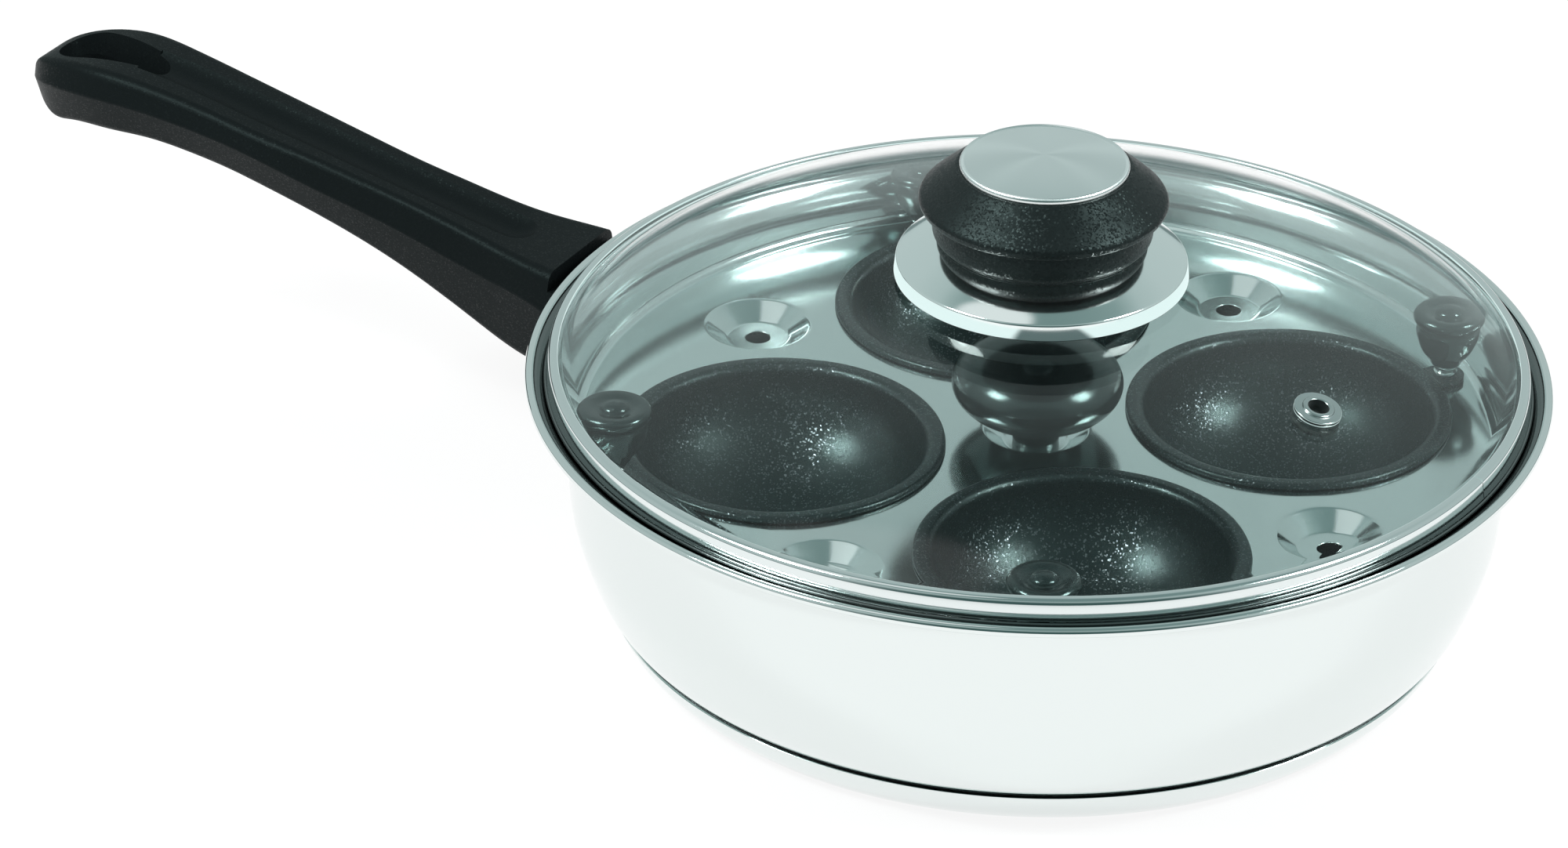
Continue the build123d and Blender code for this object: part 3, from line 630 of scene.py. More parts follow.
print("stage: tree that stands pieces on a ring")
ringTree = bpy.data.node_groups.new("standOnRing", "GeometryNodeTree")
ringInputs = {"Geometry": addSocket(ringTree, "Geometry", "NodeSocketGeometry")}
for title, kind, default in (
    ("Count", "NodeSocketInt", 1),
    ("Orbit", "NodeSocketFloat", 0.05),
    ("Start", "NodeSocketFloat", 0.0),
    ("Reach", "NodeSocketFloat", 0.0),
    ("Turn", "NodeSocketFloat", 0.0),
    ("Material", "NodeSocketMaterial", None),
):
    ringInputs[title] = addSocket(ringTree, title, kind, default)
addSocket(ringTree, "Geometry", "NodeSocketGeometry", out=True)
given = ringTree.nodes.new("NodeGroupInput")
result = ringTree.nodes.new("NodeGroupOutput")
points = addNode(ringTree, "GeometryNodePoints", inputs={"Count": given.outputs["Count"]})
index = addNode(ringTree, "GeometryNodeInputIndex")
stepAngle = mathNode(ringTree, "DIVIDE", math.tau, given.outputs["Count"])
angle = mathNode(ringTree, "MULTIPLY_ADD", index.outputs[0], stepAngle, given.outputs["Start"])
facing = mathNode(ringTree, "ADD", angle, given.outputs["Turn"])
alongX = mathNode(ringTree, "MULTIPLY", mathNode(ringTree, "COSINE", angle), given.outputs["Orbit"])
alongY = mathNode(ringTree, "MULTIPLY", mathNode(ringTree, "SINE", angle), given.outputs["Orbit"])
cosine, sine = mathNode(ringTree, "COSINE", facing), mathNode(ringTree, "SINE", facing)
standX = mathNode(ringTree, "MULTIPLY_ADD", cosine, given.outputs["Reach"], alongX)
standY = mathNode(ringTree, "MULTIPLY_ADD", sine, given.outputs["Reach"], alongY)
position = addNode(ringTree, "ShaderNodeCombineXYZ", inputs={"X": standX, "Y": standY})
rotation = addNode(ringTree, "ShaderNodeCombineXYZ", inputs={"Z": facing})
moved = addNode(
    ringTree,
    "GeometryNodeSetPosition",
    inputs={"Geometry": points.outputs[0], "Position": position.outputs[0]},
)
copies = addNode(
    ringTree,
    "GeometryNodeInstanceOnPoints",
    inputs={
        "Points": moved.outputs[0],
        "Instance": given.outputs["Geometry"],
        "Rotation": rotation.outputs[0],
    },
)
solid = addNode(ringTree, "GeometryNodeRealizeInstances", inputs={"Geometry": copies.outputs[0]})
dressed = addNode(
    ringTree,
    "GeometryNodeSetMaterial",
    inputs={"Geometry": solid.outputs[0], "Material": given.outputs["Material"]},
)
ringTree.links.new(dressed.outputs[0], result.inputs["Geometry"])


def stood(obj, values, name=None):
    # the piece's copies as plain mesh, at the places the tree gives
    modifier = obj.modifiers.new("standOnRing", "NODES")
    modifier.node_group = ringTree
    values = dict(values, Material=obj.data.materials[0])
    for title, value in values.items():
        modifier[ringInputs[title].identifier] = value
    graph = bpy.context.evaluated_depsgraph_get()
    mesh = bpy.data.meshes.new_from_object(obj.evaluated_get(graph))
    obj.modifiers.remove(modifier)
    obj.data = mesh
    if name:
        obj.name = name
    return obj


print("stage: pan shell and base")
pan = {
    "wallRadius": 101.2,
    "thickness": 0.8,
    "underside": 7.2,
    "flareStart": 47.1,
    "flareRadius": 10.5,
    "flareSweep": 75,
    "beadRadius": 1.1,
    "creviceBeadShare": 0.9,
    "creviceInset": 2.0,
    "belly": ((0.893, 0.0), (0.917, 0.05), (0.9605, 0.259), (0.986, 0.477), (0.9955, 0.749), (1.0, 1.0)),
}
flareCentre = (pan["wallRadius"] + pan["flareRadius"], pan["flareStart"])


def flareArc(radius, fromSweep, toSweep, step=4):
    return arc(flareCentre, radius, 180 - fromSweep, 180 - toSweep, step)


def beadRound(centre, radius, start, stop):
    # the long way round a rolled edge, from one sheet face to the other
    a = math.degrees(math.atan2(start[1] - centre[1], start[0] - centre[0]))
    b = math.degrees(math.atan2(stop[1] - centre[1], stop[0] - centre[0]))
    while b < a:
        b += 360
    return arc(centre, radius, a, b, 12)


def rolledWall(inner, outer, sweep, beadSize):
    # underside of the flare, its rolled edge and its upper side
    middle = (inner + outer) / 2
    half = (outer - inner) / 2
    back = math.degrees(math.sqrt(beadSize**2 - half**2) / middle)
    centre = spot(flareCentre, middle, 180 - sweep)
    under = flareArc(inner, 0, sweep - back)
    over = flareArc(outer, sweep - back, 0)
    return under + beadRound(centre, beadSize, under[-1], over[0]) + over


bellyHeight = pan["flareStart"] - pan["underside"]
bellyPoints = [(r * pan["wallRadius"], pan["underside"] + z * bellyHeight) for r, z in pan["belly"]]
bellyLine = smoothLine(bellyPoints)
innerLine = offsetLine(bellyLine, pan["thickness"])
innerLine = [p for p in innerLine if p[1] > pan["underside"] + pan["thickness"]]
panOutline = [(0, pan["underside"])] + bellyLine[:-1]
overFlare = pan["flareRadius"] + pan["thickness"]
panOutline += rolledWall(pan["flareRadius"], overFlare, pan["flareSweep"], pan["beadRadius"])
panOutline += list(reversed(innerLine[:-1])) + [(0, pan["underside"] + pan["thickness"])]
panShell = lathe("panShell", panOutline, steels["outerSteel"], 256)
panBead = spot(flareCentre, pan["flareRadius"] + pan["thickness"] / 2, 180 - pan["flareSweep"])
creviceOut = panBead[0] - pan["beadRadius"] * pan["creviceBeadShare"]
creviceIn = pan["wallRadius"] + pan["creviceInset"]
# upward faces of the flare inside the bead get the dark steel: painted shade in the crevice
recoloured(
    panShell,
    steels["paintedCreviceShade"],
    lambda r, z, n: creviceIn < r < creviceOut and z > pan["flareStart"] and n.z > 0,
)
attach(panShell, "pan")
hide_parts("pan_body")

base = {"height": 8.2, "thickness": 0.6, "foot": 87.0, "lip": 92.9, "bulge": 90.6, "bulgeShare": 0.44}
bulgeHeight = base["bulgeShare"] * base["height"]
capsuleOuter = [(base["foot"], 0), (base["bulge"], bulgeHeight), (base["lip"], base["height"])]
capsuleOuter = smoothLine(capsuleOuter, 10)
t = base["thickness"]
capsuleInner = [(base["foot"] - t, t), (base["bulge"] - t, bulgeHeight), (base["lip"] - t, base["height"])]
capsuleInner = smoothLine(capsuleInner, 10)
baseCapsule = lathe(
    "baseCapsule",
    [(0, 0)] + capsuleOuter + list(reversed(capsuleInner)) + [(0, t)],
    steels["outerSteel"],
    256,
)
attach(baseCapsule, "pan")
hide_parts("base_capsule")

print("stage: tray")
tray = {
    "top": 43.4,
    "thickness": 0.8,
    "clearance": 0.3,
    "corner": 3.0,
    "sweep": 58,
    "bead": 0.5,
    "turn": -7.66,
    "cupOrbit": 55.15,
    "cupHole": 32.4,
    "dimpleOrbit": 74.9,
    "dimpleDepth": 3.3,
    "dimpleOuter": 10.9,
    "dimpleFloor": 6.9,
    "dimpleBrim": 0.6,
    "dimpleBend": 1.2,
    "steamHole": 2.8,
    "centreHole": 2.1,
}
underArc = pan["flareRadius"] + pan["thickness"] + tray["clearance"]
overArc = underArc + tray["thickness"]
trayWall = flareCentre[0] - underArc
trayUnder = tray["top"] - tray["thickness"]
bendCentre = (trayWall - tray["corner"], trayUnder + tray["corner"])
wallOutline = [(bendCentre[0], trayUnder)]
wallOutline += arc(bendCentre, tray["corner"], -90, 0)
wallOutline += rolledWall(underArc, overArc, tray["sweep"], tray["bead"])
wallOutline += arc(bendCentre, tray["corner"] - tray["thickness"], 0, -90)
trayRim = lathe("trayRim", wallOutline, steels["innerSteel"], 256)
trayBead = spot(flareCentre, (underArc + overArc) / 2, 180 - tray["sweep"])
creviceTray = trayBead[0] - tray["bead"]


def plateWithHoles(name, outerRadius, holes, top, under, material):
    # flat ring plate: both faces filled round the holes, with a wall in each hole
    bm = bmesh.new()
    loops = []
    for level in (top, under):
        edges = []
        rings = []
        for (x, y), radius, count in [((0, 0), outerRadius, 256)] + holes:
            ring = []
            for k in range(count):
                a = math.tau * k / count
                across, along = x + radius * math.cos(a), y + radius * math.sin(a)
                ring.append(bm.verts.new((across * mm, along * mm, level * mm)))
            for k in range(count):
                edges.append(bm.edges.new((ring[k], ring[(k + 1) % count])))
            rings.append(ring)
        loops.append(rings)
        bmesh.ops.triangle_fill(bm, use_beauty=True, use_dissolve=False, edges=edges)
    for upper, lower in zip(*loops):
        count = len(upper)
        for k in range(count):
            m = (k + 1) % count
            bm.faces.new((upper[k], lower[k], lower[m], upper[m]))
    bmesh.ops.recalc_face_normals(bm, faces=bm.faces)
    mesh = bpy.data.meshes.new(name)
    bm.to_mesh(mesh)
    bm.free()
    return newObject(name, mesh, material)


def onRing(orbit, deg):
    a = math.radians(deg)
    return (orbit * math.cos(a), orbit * math.sin(a))


wellRadius = tray["dimpleOuter"] + tray["dimpleBend"]
holes = [((0, 0), wellRadius, 64)]
holes += [(onRing(tray["dimpleOrbit"], tray["turn"] + 90 * i), wellRadius, 64) for i in range(4)]
holes += [(onRing(tray["cupOrbit"], tray["turn"] + 45 + 90 * i), tray["cupHole"], 128) for i in range(4)]
trayPlate = plateWithHoles("trayPlate", bendCentre[0], holes, tray["top"], trayUnder, steels["innerSteel"])


def dimpleOutline(holeRadius):
    top, t = tray["top"], tray["thickness"]
    floor = top - tray["dimpleDepth"]
    brim = wellRadius - tray["dimpleBrim"]
    lines = [
        (wellRadius, top),
        (brim, top),
        (tray["dimpleFloor"], floor),
        (holeRadius, floor),
        (holeRadius, floor - t),
        (tray["dimpleFloor"], floor - t),
        (brim, top - t),
        (wellRadius, top - t),
    ]
    return rounded(lines, (0, 1.6, 1.6, 0.2, 0, 1.6, 1.6, 0))


centreDimple = lathe("centreDimple", dimpleOutline(tray["centreHole"]), steels["innerSteel"], 64)
steamDimples = lathe("steamDimples", dimpleOutline(tray["steamHole"]), steels["innerSteel"], 64)
stood(
    steamDimples,
    {
        "Count": 4,
        "Orbit": tray["dimpleOrbit"] * mm,
        "Start": math.radians(tray["turn"]),
    },
)
poacherTray = joined("poacherTray", [trayRim, trayPlate, centreDimple, steamDimples])
# the tray's rim from its bead outward gets the dark steel: painted shade in the crevice under the lid band
recoloured(poacherTray, steels["paintedCreviceShade"], lambda r, z, n: r > creviceTray)
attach(poacherTray, "tray")
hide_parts("poacher_tray")

ball = {
    "radius": 18.4,
    "half": 9.2,
    "centre": 54.1,
    "openRad": 0.32,
    "neck": 4.6,
    "neckEase": 0.35,
    "neckFlare": 0.4,
    "foot": 5.0,
    "footHeight": 1.2,
    "screw": 2.0,
    "screwReach": 15,
}
footLevel = tray["top"] - tray["dimpleDepth"]
ballLine = [
    (ball["radius"] * math.cos(a), ball["centre"] + ball["half"] * math.sin(a))
    for a in np.linspace(-math.pi / 2 + ball["openRad"], math.pi / 2, 48)
]
ballLine[-1] = (0, ball["centre"] + ball["half"])
ballBore = footLevel + ball["screwReach"]
knobOutline = [(0, ballBore), (ball["screw"], ballBore), (ball["screw"], footLevel)]
knobOutline += [(ball["foot"], footLevel), (ball["foot"], footLevel + ball["footHeight"])]
ballLow = ballLine[0][1]
knobOutline += [(ball["neck"], footLevel + ball["footHeight"]), (ball["neck"], ballLow - ball["neckEase"])]
knobOutline += [(ball["neck"] + ball["neckFlare"], ballLow)]
trayKnob = lathe("trayKnob", knobOutline + ballLine, blacks["glossBlack"], 128)
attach(trayKnob, "tray")
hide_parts("tray_knob")

print("stage: egg cups")
cup = {
    "flange": 35.1,
    "mouth": 31.0,
    "thickness": 1.0,
    "rimHeight": 1.5,
    "depth": 24.0,
    "restGap": 0.3,
    "edge": 0.9,
    "earReach": 38.0,
    "earRadius": 4.2,
    "turns": {"right": 15.0, "rear": 15.0, "left": 16.0, "front": -22.6},
}
cupTop = tray["top"] + cup["rimHeight"]
cupLow = tray["top"] + cup["restGap"]
cupBend = cup["edge"] + cup["thickness"]
bowlDepth = cup["depth"] - cupBend
bowlLine = [
    (cup["mouth"] * math.sin(math.radians(a)), cupTop - cupBend - bowlDepth * math.cos(math.radians(a)))
    for a in np.linspace(0, 90, 31)
]
shellLine = offsetLine(bowlLine, -cup["thickness"])
shellLine[0] = (0, bowlLine[0][1] - cup["thickness"])
mouthArc = arc((cup["mouth"] + cupBend, cupTop - cupBend), cupBend, 180, 90, 9)
edgeArc = arc((cup["flange"] - cup["edge"], cupTop - cup["edge"]), cup["edge"], 90, 0, 12)
cupOutline = bowlLine + mouthArc + edgeArc
cupOutline += [(cup["flange"], cupLow), (cup["flange"] - cup["thickness"], cupLow)]
cupOutline += [(cup["flange"] - cup["thickness"], cupTop - cup["thickness"])]
cupOutline += [(cup["mouth"] + cup["thickness"], cupTop - cup["thickness"])]
cupOutline += list(reversed(shellLine))


def tabPlate(name, reach, radius, inner, low, high, material):
    # flat ear with a round end, tucked under the flange
    roundEnd = [spot((reach, 0), radius, a) for a in range(-90, 91, 6)]
    outline = [(inner, -radius)] + roundEnd + [(inner, radius)]
    bm = bmesh.new()
    bottom = [bm.verts.new((x * mm, y * mm, low * mm)) for x, y in outline]
    top = [bm.verts.new((x * mm, y * mm, high * mm)) for x, y in outline]
    bm.faces.new(top)
    bm.faces.new(list(reversed(bottom)))
    n = len(outline)
    for k in range(n):
        bm.faces.new((bottom[k], bottom[(k + 1) % n], top[(k + 1) % n], top[k]))
    edges = [e for e in bm.edges if abs(e.verts[0].co.z - e.verts[1].co.z) < 1e-7]
    bmesh.ops.bevel(bm, geom=edges, offset=0.25 * mm, segments=2, affect="EDGES")
    bmesh.ops.recalc_face_normals(bm, faces=bm.faces)
    mesh = bpy.data.meshes.new(name)
    bm.to_mesh(mesh)
    bm.free()
    return newObject(name, mesh, material)


grip = {
    "ferrule": 2.6,
    "waist": 2.1,
    "ferruleHeight": 2.8,
    "stud": 1.4,
    "height": 14.9,
    "foot": 3.2,
    "belly": 6.9,
    "neck": 6.7,
    "top": 7.7,
    "button": 2.7,
    "dish": 4.8,
    "dishDepth": 0.5,
    "brimWidth": 0.8,
    "brimDrop": 0.2,
    "pipEase": 0.5,
    "pipStep": 0.1,
    "pip": 3.0,
    "pipHeight": 0.9,
    "shares": ((0.52, 0.08), (0.76, 0.3), (0.94, 0.6), (1.0, 0.86)),
}
earTop = cupLow + cup["thickness"]
ferruleTop = earTop + grip["ferruleHeight"]
gripTop = earTop + grip["height"]
buttonLow = gripTop - grip["button"]


def ferruleOutline():
    # two rolled rings with a groove between them
    ring = grip["ferruleHeight"] / 4
    line = [(0, earTop), (grip["waist"], earTop)]
    line += arc((grip["ferrule"] - ring, earTop + ring), ring, -90, 90, 15)
    line += [(grip["waist"], earTop + 2 * ring)]
    line += arc((grip["ferrule"] - ring, earTop + 3 * ring), ring, -90, 90, 15)
    return line + [(grip["stud"], ferruleTop), (0, ferruleTop)]


def gripOutline():
    crown = grip["button"] / 2
    height = buttonLow - ferruleTop
    body = [(grip["foot"], ferruleTop)]
    body += [(grip["belly"] * r, ferruleTop + height * z) for r, z in grip["shares"]]
    body += [(grip["neck"], buttonLow - 0.5)]
    line = [(0, ferruleTop)] + smoothLine(body, 6)
    line += [(grip["neck"] - 0.5, buttonLow - 0.1), (grip["neck"] - 0.45, buttonLow + 0.15)]
    line += arc((grip["top"] - crown, gripTop - crown), crown, -55, 90, 9)
    dishFloor = gripTop - grip["dishDepth"]
    dish = [(grip["dish"] + grip["brimWidth"], gripTop), (grip["dish"], gripTop - grip["brimDrop"])]
    dish += [(grip["pip"] + grip["pipEase"], dishFloor), (grip["pip"], dishFloor + grip["pipStep"])]
    line += smoothLine(dish, 5)
    pipRise = grip["pipHeight"] + grip["dishDepth"]
    dome = [
        (grip["pip"] * math.cos(a), dishFloor + pipRise * math.sin(a))
        for a in np.linspace(0, math.pi / 2, 9)
    ]
    dome[-1] = (0, gripTop + grip["pipHeight"])
    return line + dome


for i, side in enumerate(("right", "rear", "left", "front")):
    start = math.radians(tray["turn"] + 45 + 90 * i)
    turn = math.radians(cup["turns"][side])
    body = "egg_cup_" + side
    onCup = {"Count": 1, "Orbit": tray["cupOrbit"] * mm, "Start": start, "Turn": turn}
    onEar = dict(onCup, Reach=cup["earReach"] * mm)
    bowl = lathe("cupBowl", cupOutline, coat, 160)
    ear = tabPlate("cupEar", cup["earReach"], cup["earRadius"], cup["flange"] - 0.6, cupLow, earTop, coat)
    cupShell = stood(joined("cupShell", [bowl, ear]), onCup, f"eggCup.{side}")
    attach(cupShell, body)
    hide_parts(f"cup_{side}")
    ferrule = stood(lathe("ferrule", ferruleOutline(), steels["trimSteel"], 48), onEar, f"cupFerrule.{side}")
    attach(ferrule, body)
    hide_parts(f"cup_{side}_ferrule")
    knob = stood(lathe("grip", gripOutline(), blacks["glossBlack"], 80), onEar, f"cupKnob.{side}")
    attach(knob, body)
    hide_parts(f"cup_{side}_knob")

print("stage: lid")
lid = {
    "bandOverhang": 0.16,
    "bandThickness": 0.5,
    "bandEdge": 1.3,
    "bandLean": 0.7,
    "bandDepth": 2.7,
    "bandHeight": 4.6,
    "bandRestGap": 0.1,
    "lipRise": 0.2,
    "seamWidth": 0.25,
    "seamDeg": -1.6,
    "glassGap": 0.2,
    "glassRound": 0.8,
    "edgeThickness": 3.4,
    "glassThickness": 3.2,
    "rise": 21.4,
    "screwHole": 3.2,
    "fit": 0.1,
    "shares": (
        (0.976, 0.0),
        (0.935, 0.129),
        (0.858, 0.31),
        (0.696, 0.581),
        (0.477, 0.805),
        (0.296, 0.919),
        (0.15, 0.98),
        (0.0, 1.0),
    ),
}
bandRadius = trayBead[0] + lid["bandOverhang"]
bandLow = trayBead[1] + tray["bead"] + lid["bandRestGap"]
glassEdge = bandRadius - lid["bandThickness"] - lid["glassGap"]
bandHigh = bandLow + lid["bandHeight"]
bandReach = bandRadius - lid["bandDepth"]
t = lid["bandThickness"]
bandOutline = rounded(
    [
        (bandReach, bandLow),
        (bandRadius, bandLow),
        (bandRadius - lid["bandLean"], bandHigh),
        (bandReach, bandHigh + lid["lipRise"]),
        (bandReach, bandHigh + lid["lipRise"] - t),
        (bandRadius - lid["bandLean"] - t, bandHigh - t),
        (bandRadius - t, bandLow + t),
        (bandReach, bandLow + t),
    ],
    (0.15, 0.35, lid["bandEdge"], 0.2, 0.1, lid["bandEdge"] - t, 0.1, 0.15),
)
seamHalf = math.degrees(lid["seamWidth"] / 2 / bandRadius)
bandSweep = (lid["seamDeg"] + seamHalf, 360 - 2 * seamHalf)
lidBand = lathe("lidBand", bandOutline, steels["trimSteel"], 320, bandSweep)
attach(lidBand, "lid")
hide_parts("lid_band")

glassLow = bandLow + lid["bandThickness"] + lid["fit"]
glassHigh = glassLow + lid["edgeThickness"]
overLine = smoothLine([(r * glassEdge, glassHigh + z * lid["rise"]) for r, z in lid["shares"]], 10)
crown = glassHigh + lid["rise"]
underLine = offsetLine(overLine, lid["glassThickness"])
underLine[0] = (overLine[0][0], glassLow)
underLine = [p for i, p in enumerate(underLine) if i == 0 or (p[0] < overLine[0][0] - 3 and p[1] > glassLow)]
overLine = [p for p in overLine if p[0] > lid["screwHole"]] + [(lid["screwHole"], crown)]
underLine = [p for p in underLine if p[0] > lid["screwHole"]]
underLine += [(lid["screwHole"], crown - lid["glassThickness"])]
bend = lid["glassRound"]
rimCentre = glassEdge - bend
glassOutline = arc((rimCentre, glassLow + bend), bend, -90, 0, 10)
glassOutline += arc((rimCentre, glassHigh - bend), bend, 0, 90, 10)
glassOutline += overLine + list(reversed(underLine))
lidGlass = lathe("lidGlass", glassOutline, lidGlassMaterial, 320, sharpDeg=50)
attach(lidGlass, "lid")
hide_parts("lid_glass")

vent = {
    "orbitShare": 0.6956,
    "deg": -11.0,
    "slopeReach": 3.2,
    "hole": 2.2,
    "barrel": 3.0,
    "flange": 5.1,
    "lipThickness": 0.3,
    "neck": 3.9,
    "flangeLow": 0.62,
    "flangeThickness": 0.42,
    "collar": 3.4,
    "collarHeight": 1.5,
    "edge": 0.4,
    "washer": 0.9,
    "seatGap": 0.07,
    "washerGap": 0.2,
}


def glassHeight(radius):
    spots = sorted((r * glassEdge, glassHigh + z * lid["rise"]) for r, z in lid["shares"])
    return float(np.interp(radius, [p[0] for p in spots], [p[1] for p in spots]))


ventOrbit = vent["orbitShare"] * glassEdge
glassSpots = [(r * glassEdge, glassHigh + z * lid["rise"]) for r, z in lid["shares"]]
inner = max(p for p in glassSpots if p[0] < ventOrbit - vent["slopeReach"])
outer = min(p for p in glassSpots if p[0] > ventOrbit + vent["slopeReach"])
ventTilt = math.atan2(inner[1] - outer[1], outer[0] - inner[0])
ventPlace = Matrix.Rotation(math.radians(vent["deg"]), 4, "Z")
ventPlace = ventPlace @ Matrix.Translation((ventOrbit * mm, 0, glassHeight(ventOrbit) * mm))
ventPlace = ventPlace @ Matrix.Rotation(ventTilt, 4, "Y")
foot = vent["seatGap"]
lipTop = foot + vent["lipThickness"]
flangeLow = foot + vent["flangeLow"]
flangeTop = flangeLow + vent["flangeThickness"]
collarTop = foot + vent["collarHeight"]
ventLow = -lid["glassThickness"] - vent["washer"] - vent["washerGap"]
eyeletOutline = rounded(
    [
        (vent["hole"], ventLow),
        (vent["barrel"], ventLow),
        (vent["barrel"], foot),
        (vent["flange"], foot),
        (vent["flange"], lipTop),
        (vent["neck"], lipTop),
        (vent["neck"], flangeLow),
        (vent["flange"], flangeLow),
        (vent["flange"], flangeTop),
        (vent["collar"], flangeTop),
        (vent["collar"], collarTop),
        (vent["hole"], collarTop),
    ],
    (0, 0, 0, 0.1, 0.1, 0.05, 0.05, 0.2, 0.2, 0.25, 0.4, 0.3),
)
ventEyelet = lathe("ventEyelet", eyeletOutline, steels["eyeletSteel"], 96, place=ventPlace)
ventBore = (vent["hole"] + vent["barrel"]) / 2
ventGroove = (vent["neck"] + vent["flange"]) / 2
# black on the bore's wall and in the groove between lip and flange: painted shade in these recesses
recoloured(
    ventEyelet,
    blacks["rubberAndPaintedShade"],
    lambda r, z, n: (r < ventBore and abs(n.z) < 0.6) or (r < ventGroove and foot < z < flangeLow + 0.01),
    ventPlace,
)
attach(ventEyelet, "lid")
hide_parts("vent_eyelet")

skirt = {
    "radius": 31.4,
    "height": 3.6,
    "crease": 31.0,
    "thickness": 0.8,
    "seatRadius": 22.6,
    "seatHeight": 8.4,
    "gap": 0.1,
    "bore": 7.2,
}
skirtLow = glassHeight(skirt["radius"]) + skirt["gap"]
seat = skirtLow + skirt["seatHeight"]
shoulder = skirtLow + skirt["height"]
t = skirt["thickness"]
skirtOutline = rounded(
    [
        (skirt["radius"] - t, skirtLow),
        (skirt["radius"], skirtLow),
        (skirt["crease"], shoulder),
        (skirt["seatRadius"], seat),
        (skirt["bore"], seat),
        (skirt["bore"], seat - t),
        (skirt["seatRadius"] - t / 2, seat - t),
        (skirt["crease"] - t, shoulder - t / 2),
    ],
    (0.2, 0.3, 0.7, 0, 0, 0, 0, 0.5),
)
knobSkirt = lathe("knobSkirt", skirtOutline, steels["skirtSteel"], 192)
# the skirt's underside and inner faces get the black: painted shade under the skirt
knobSkirt.data.materials.append(blacks["rubberAndPaintedShade"])
for face in knobSkirt.data.polygons:
    outward = face.normal.x * face.center.x + face.normal.y * face.center.y > 0
    if face.normal.z < -0.2 or not (outward or face.normal.z > 0.2):
        face.material_index = 1
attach(knobSkirt, "lid")
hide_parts("lid_knob_skirt")

head = {
    "boss": 7.0,
    "foot": 22.2,
    "footRound": 0.5,
    "collar": 23.5,
    "collarShares": ((0.6, 0.15), (1.0, 0.42), (0.85, 0.7)),
    "crease": 22.8,
    "creaseDrop": 1.6,
    "lipInset": 0.4,
    "lipDrop": 1.2,
    "widest": 26.5,
    "widestHeight": 9.3,
    "topRadius": 18.6,
    "height": 16.7,
    "shoulderShares": ((0.967, 0.085), (0.861, 0.211), (0.671, 0.397), (0.373, 0.666)),
    "topRound": 0.25,
    "socket": 2.2,
    "cap": 18.0,
    "capGap": 0.1,
    "capEdge": 0.95,
    "capRound": 0.9,
    "capBulge": 1.9,
    "screw": 2.5,
    "screwReach": 18.0,
}
headTop = seat + head["height"]
widest = seat + head["widestHeight"]
creaseHeight = widest - head["creaseDrop"]
bulge = head["collar"] - head["foot"]
wideGap = head["widest"] - head["topRadius"]
collar = [(head["foot"] + bulge * r, seat + (creaseHeight - seat) * z) for r, z in head["collarShares"]]
shoulder = [
    (head["topRadius"] + wideGap * r, widest + (headTop - widest) * z) for r, z in head["shoulderShares"]
]
footLow = crown + skirt["gap"]
boreTop = footLow + head["screwReach"]
socketLow = headTop - head["socket"]
socketWall = head["cap"] + head["capGap"]
headOutline = [
    (0, boreTop),
    (head["screw"], boreTop),
    (head["screw"], footLow),
    (head["boss"], footLow),
    (head["boss"], seat),
]
footHigh = seat + head["footRound"]
headOutline += arc((head["foot"] - head["footRound"], footHigh), head["footRound"], -90, 0, 15)
headOutline += smoothLine([(head["foot"], footHigh)] + collar + [(head["crease"], creaseHeight)], 8)
headOutline += smoothLine(
    [
        (head["crease"], creaseHeight),
        (head["widest"] - head["lipInset"], widest - head["lipDrop"]),
        (head["widest"], widest),
    ],
    6,
)
shoulderEnd = (head["topRadius"] + head["topRound"], headTop - head["topRound"] / 2)
headOutline += smoothLine([(head["widest"], widest)] + shoulder + [shoulderEnd], 8)
headOutline += [(head["topRadius"], headTop), (socketWall, headTop), (socketWall, socketLow), (0, socketLow)]
lidKnob = lathe("lidKnob", headOutline, blacks["knobBlack"], 192)
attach(lidKnob, "lid")
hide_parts("lid_knob")

capEdge = headTop + head["capEdge"]
capTop = capEdge + head["capBulge"]
domeRadius = (head["cap"] ** 2 + head["capBulge"] ** 2) / (2 * head["capBulge"])
capLine = [(0, socketLow + 0.1), (head["cap"], socketLow + 0.1)]
capLine += arc((head["cap"] - head["capRound"], capEdge - head["capRound"] / 2), head["capRound"], 0, 68, 8)
for r in np.linspace(head["cap"] - head["capRound"], 0, 24):
    capLine.append((float(r), capTop - domeRadius + math.sqrt(domeRadius**2 - r**2)))
knobCap = lathe("knobCap", capLine, steels["capSteel"], 192)
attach(knobCap, "lid")
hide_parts("lid_knob_cap")

print("stage: CAD nodes that stay")
kept = {
    "base_core": "coreAluminium",
    "tray_knob_washer": "satinSteel",
    "tray_knob_screw": "satinSteel",
    "lid_knob_screw": "satinSteel",
    "handle_bracket": "satinSteel",
    "handle_screw": "satinSteel",
}
for node, look in kept.items():
    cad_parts[node].data.materials.clear()
    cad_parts[node].data.materials.append(steels[look])
keptBlack = {"vent_washer": "rubberAndPaintedShade", "lid_knob_washer": "rubberAndPaintedShade", "handle_grip": "handleBlack"}
for node, look in keptBlack.items():
    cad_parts[node].data.materials.clear()
    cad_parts[node].data.materials.append(blacks[look])

# the photo shows the cups lit as if the lid's fittings cast no shade
unshaded = [lidKnob, knobCap, knobSkirt, ventEyelet]
unshaded += [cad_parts[node] for node in ("lid_knob_washer", "lid_knob_screw", "vent_washer")]
for obj in unshaded:
    obj.visible_shadow = False

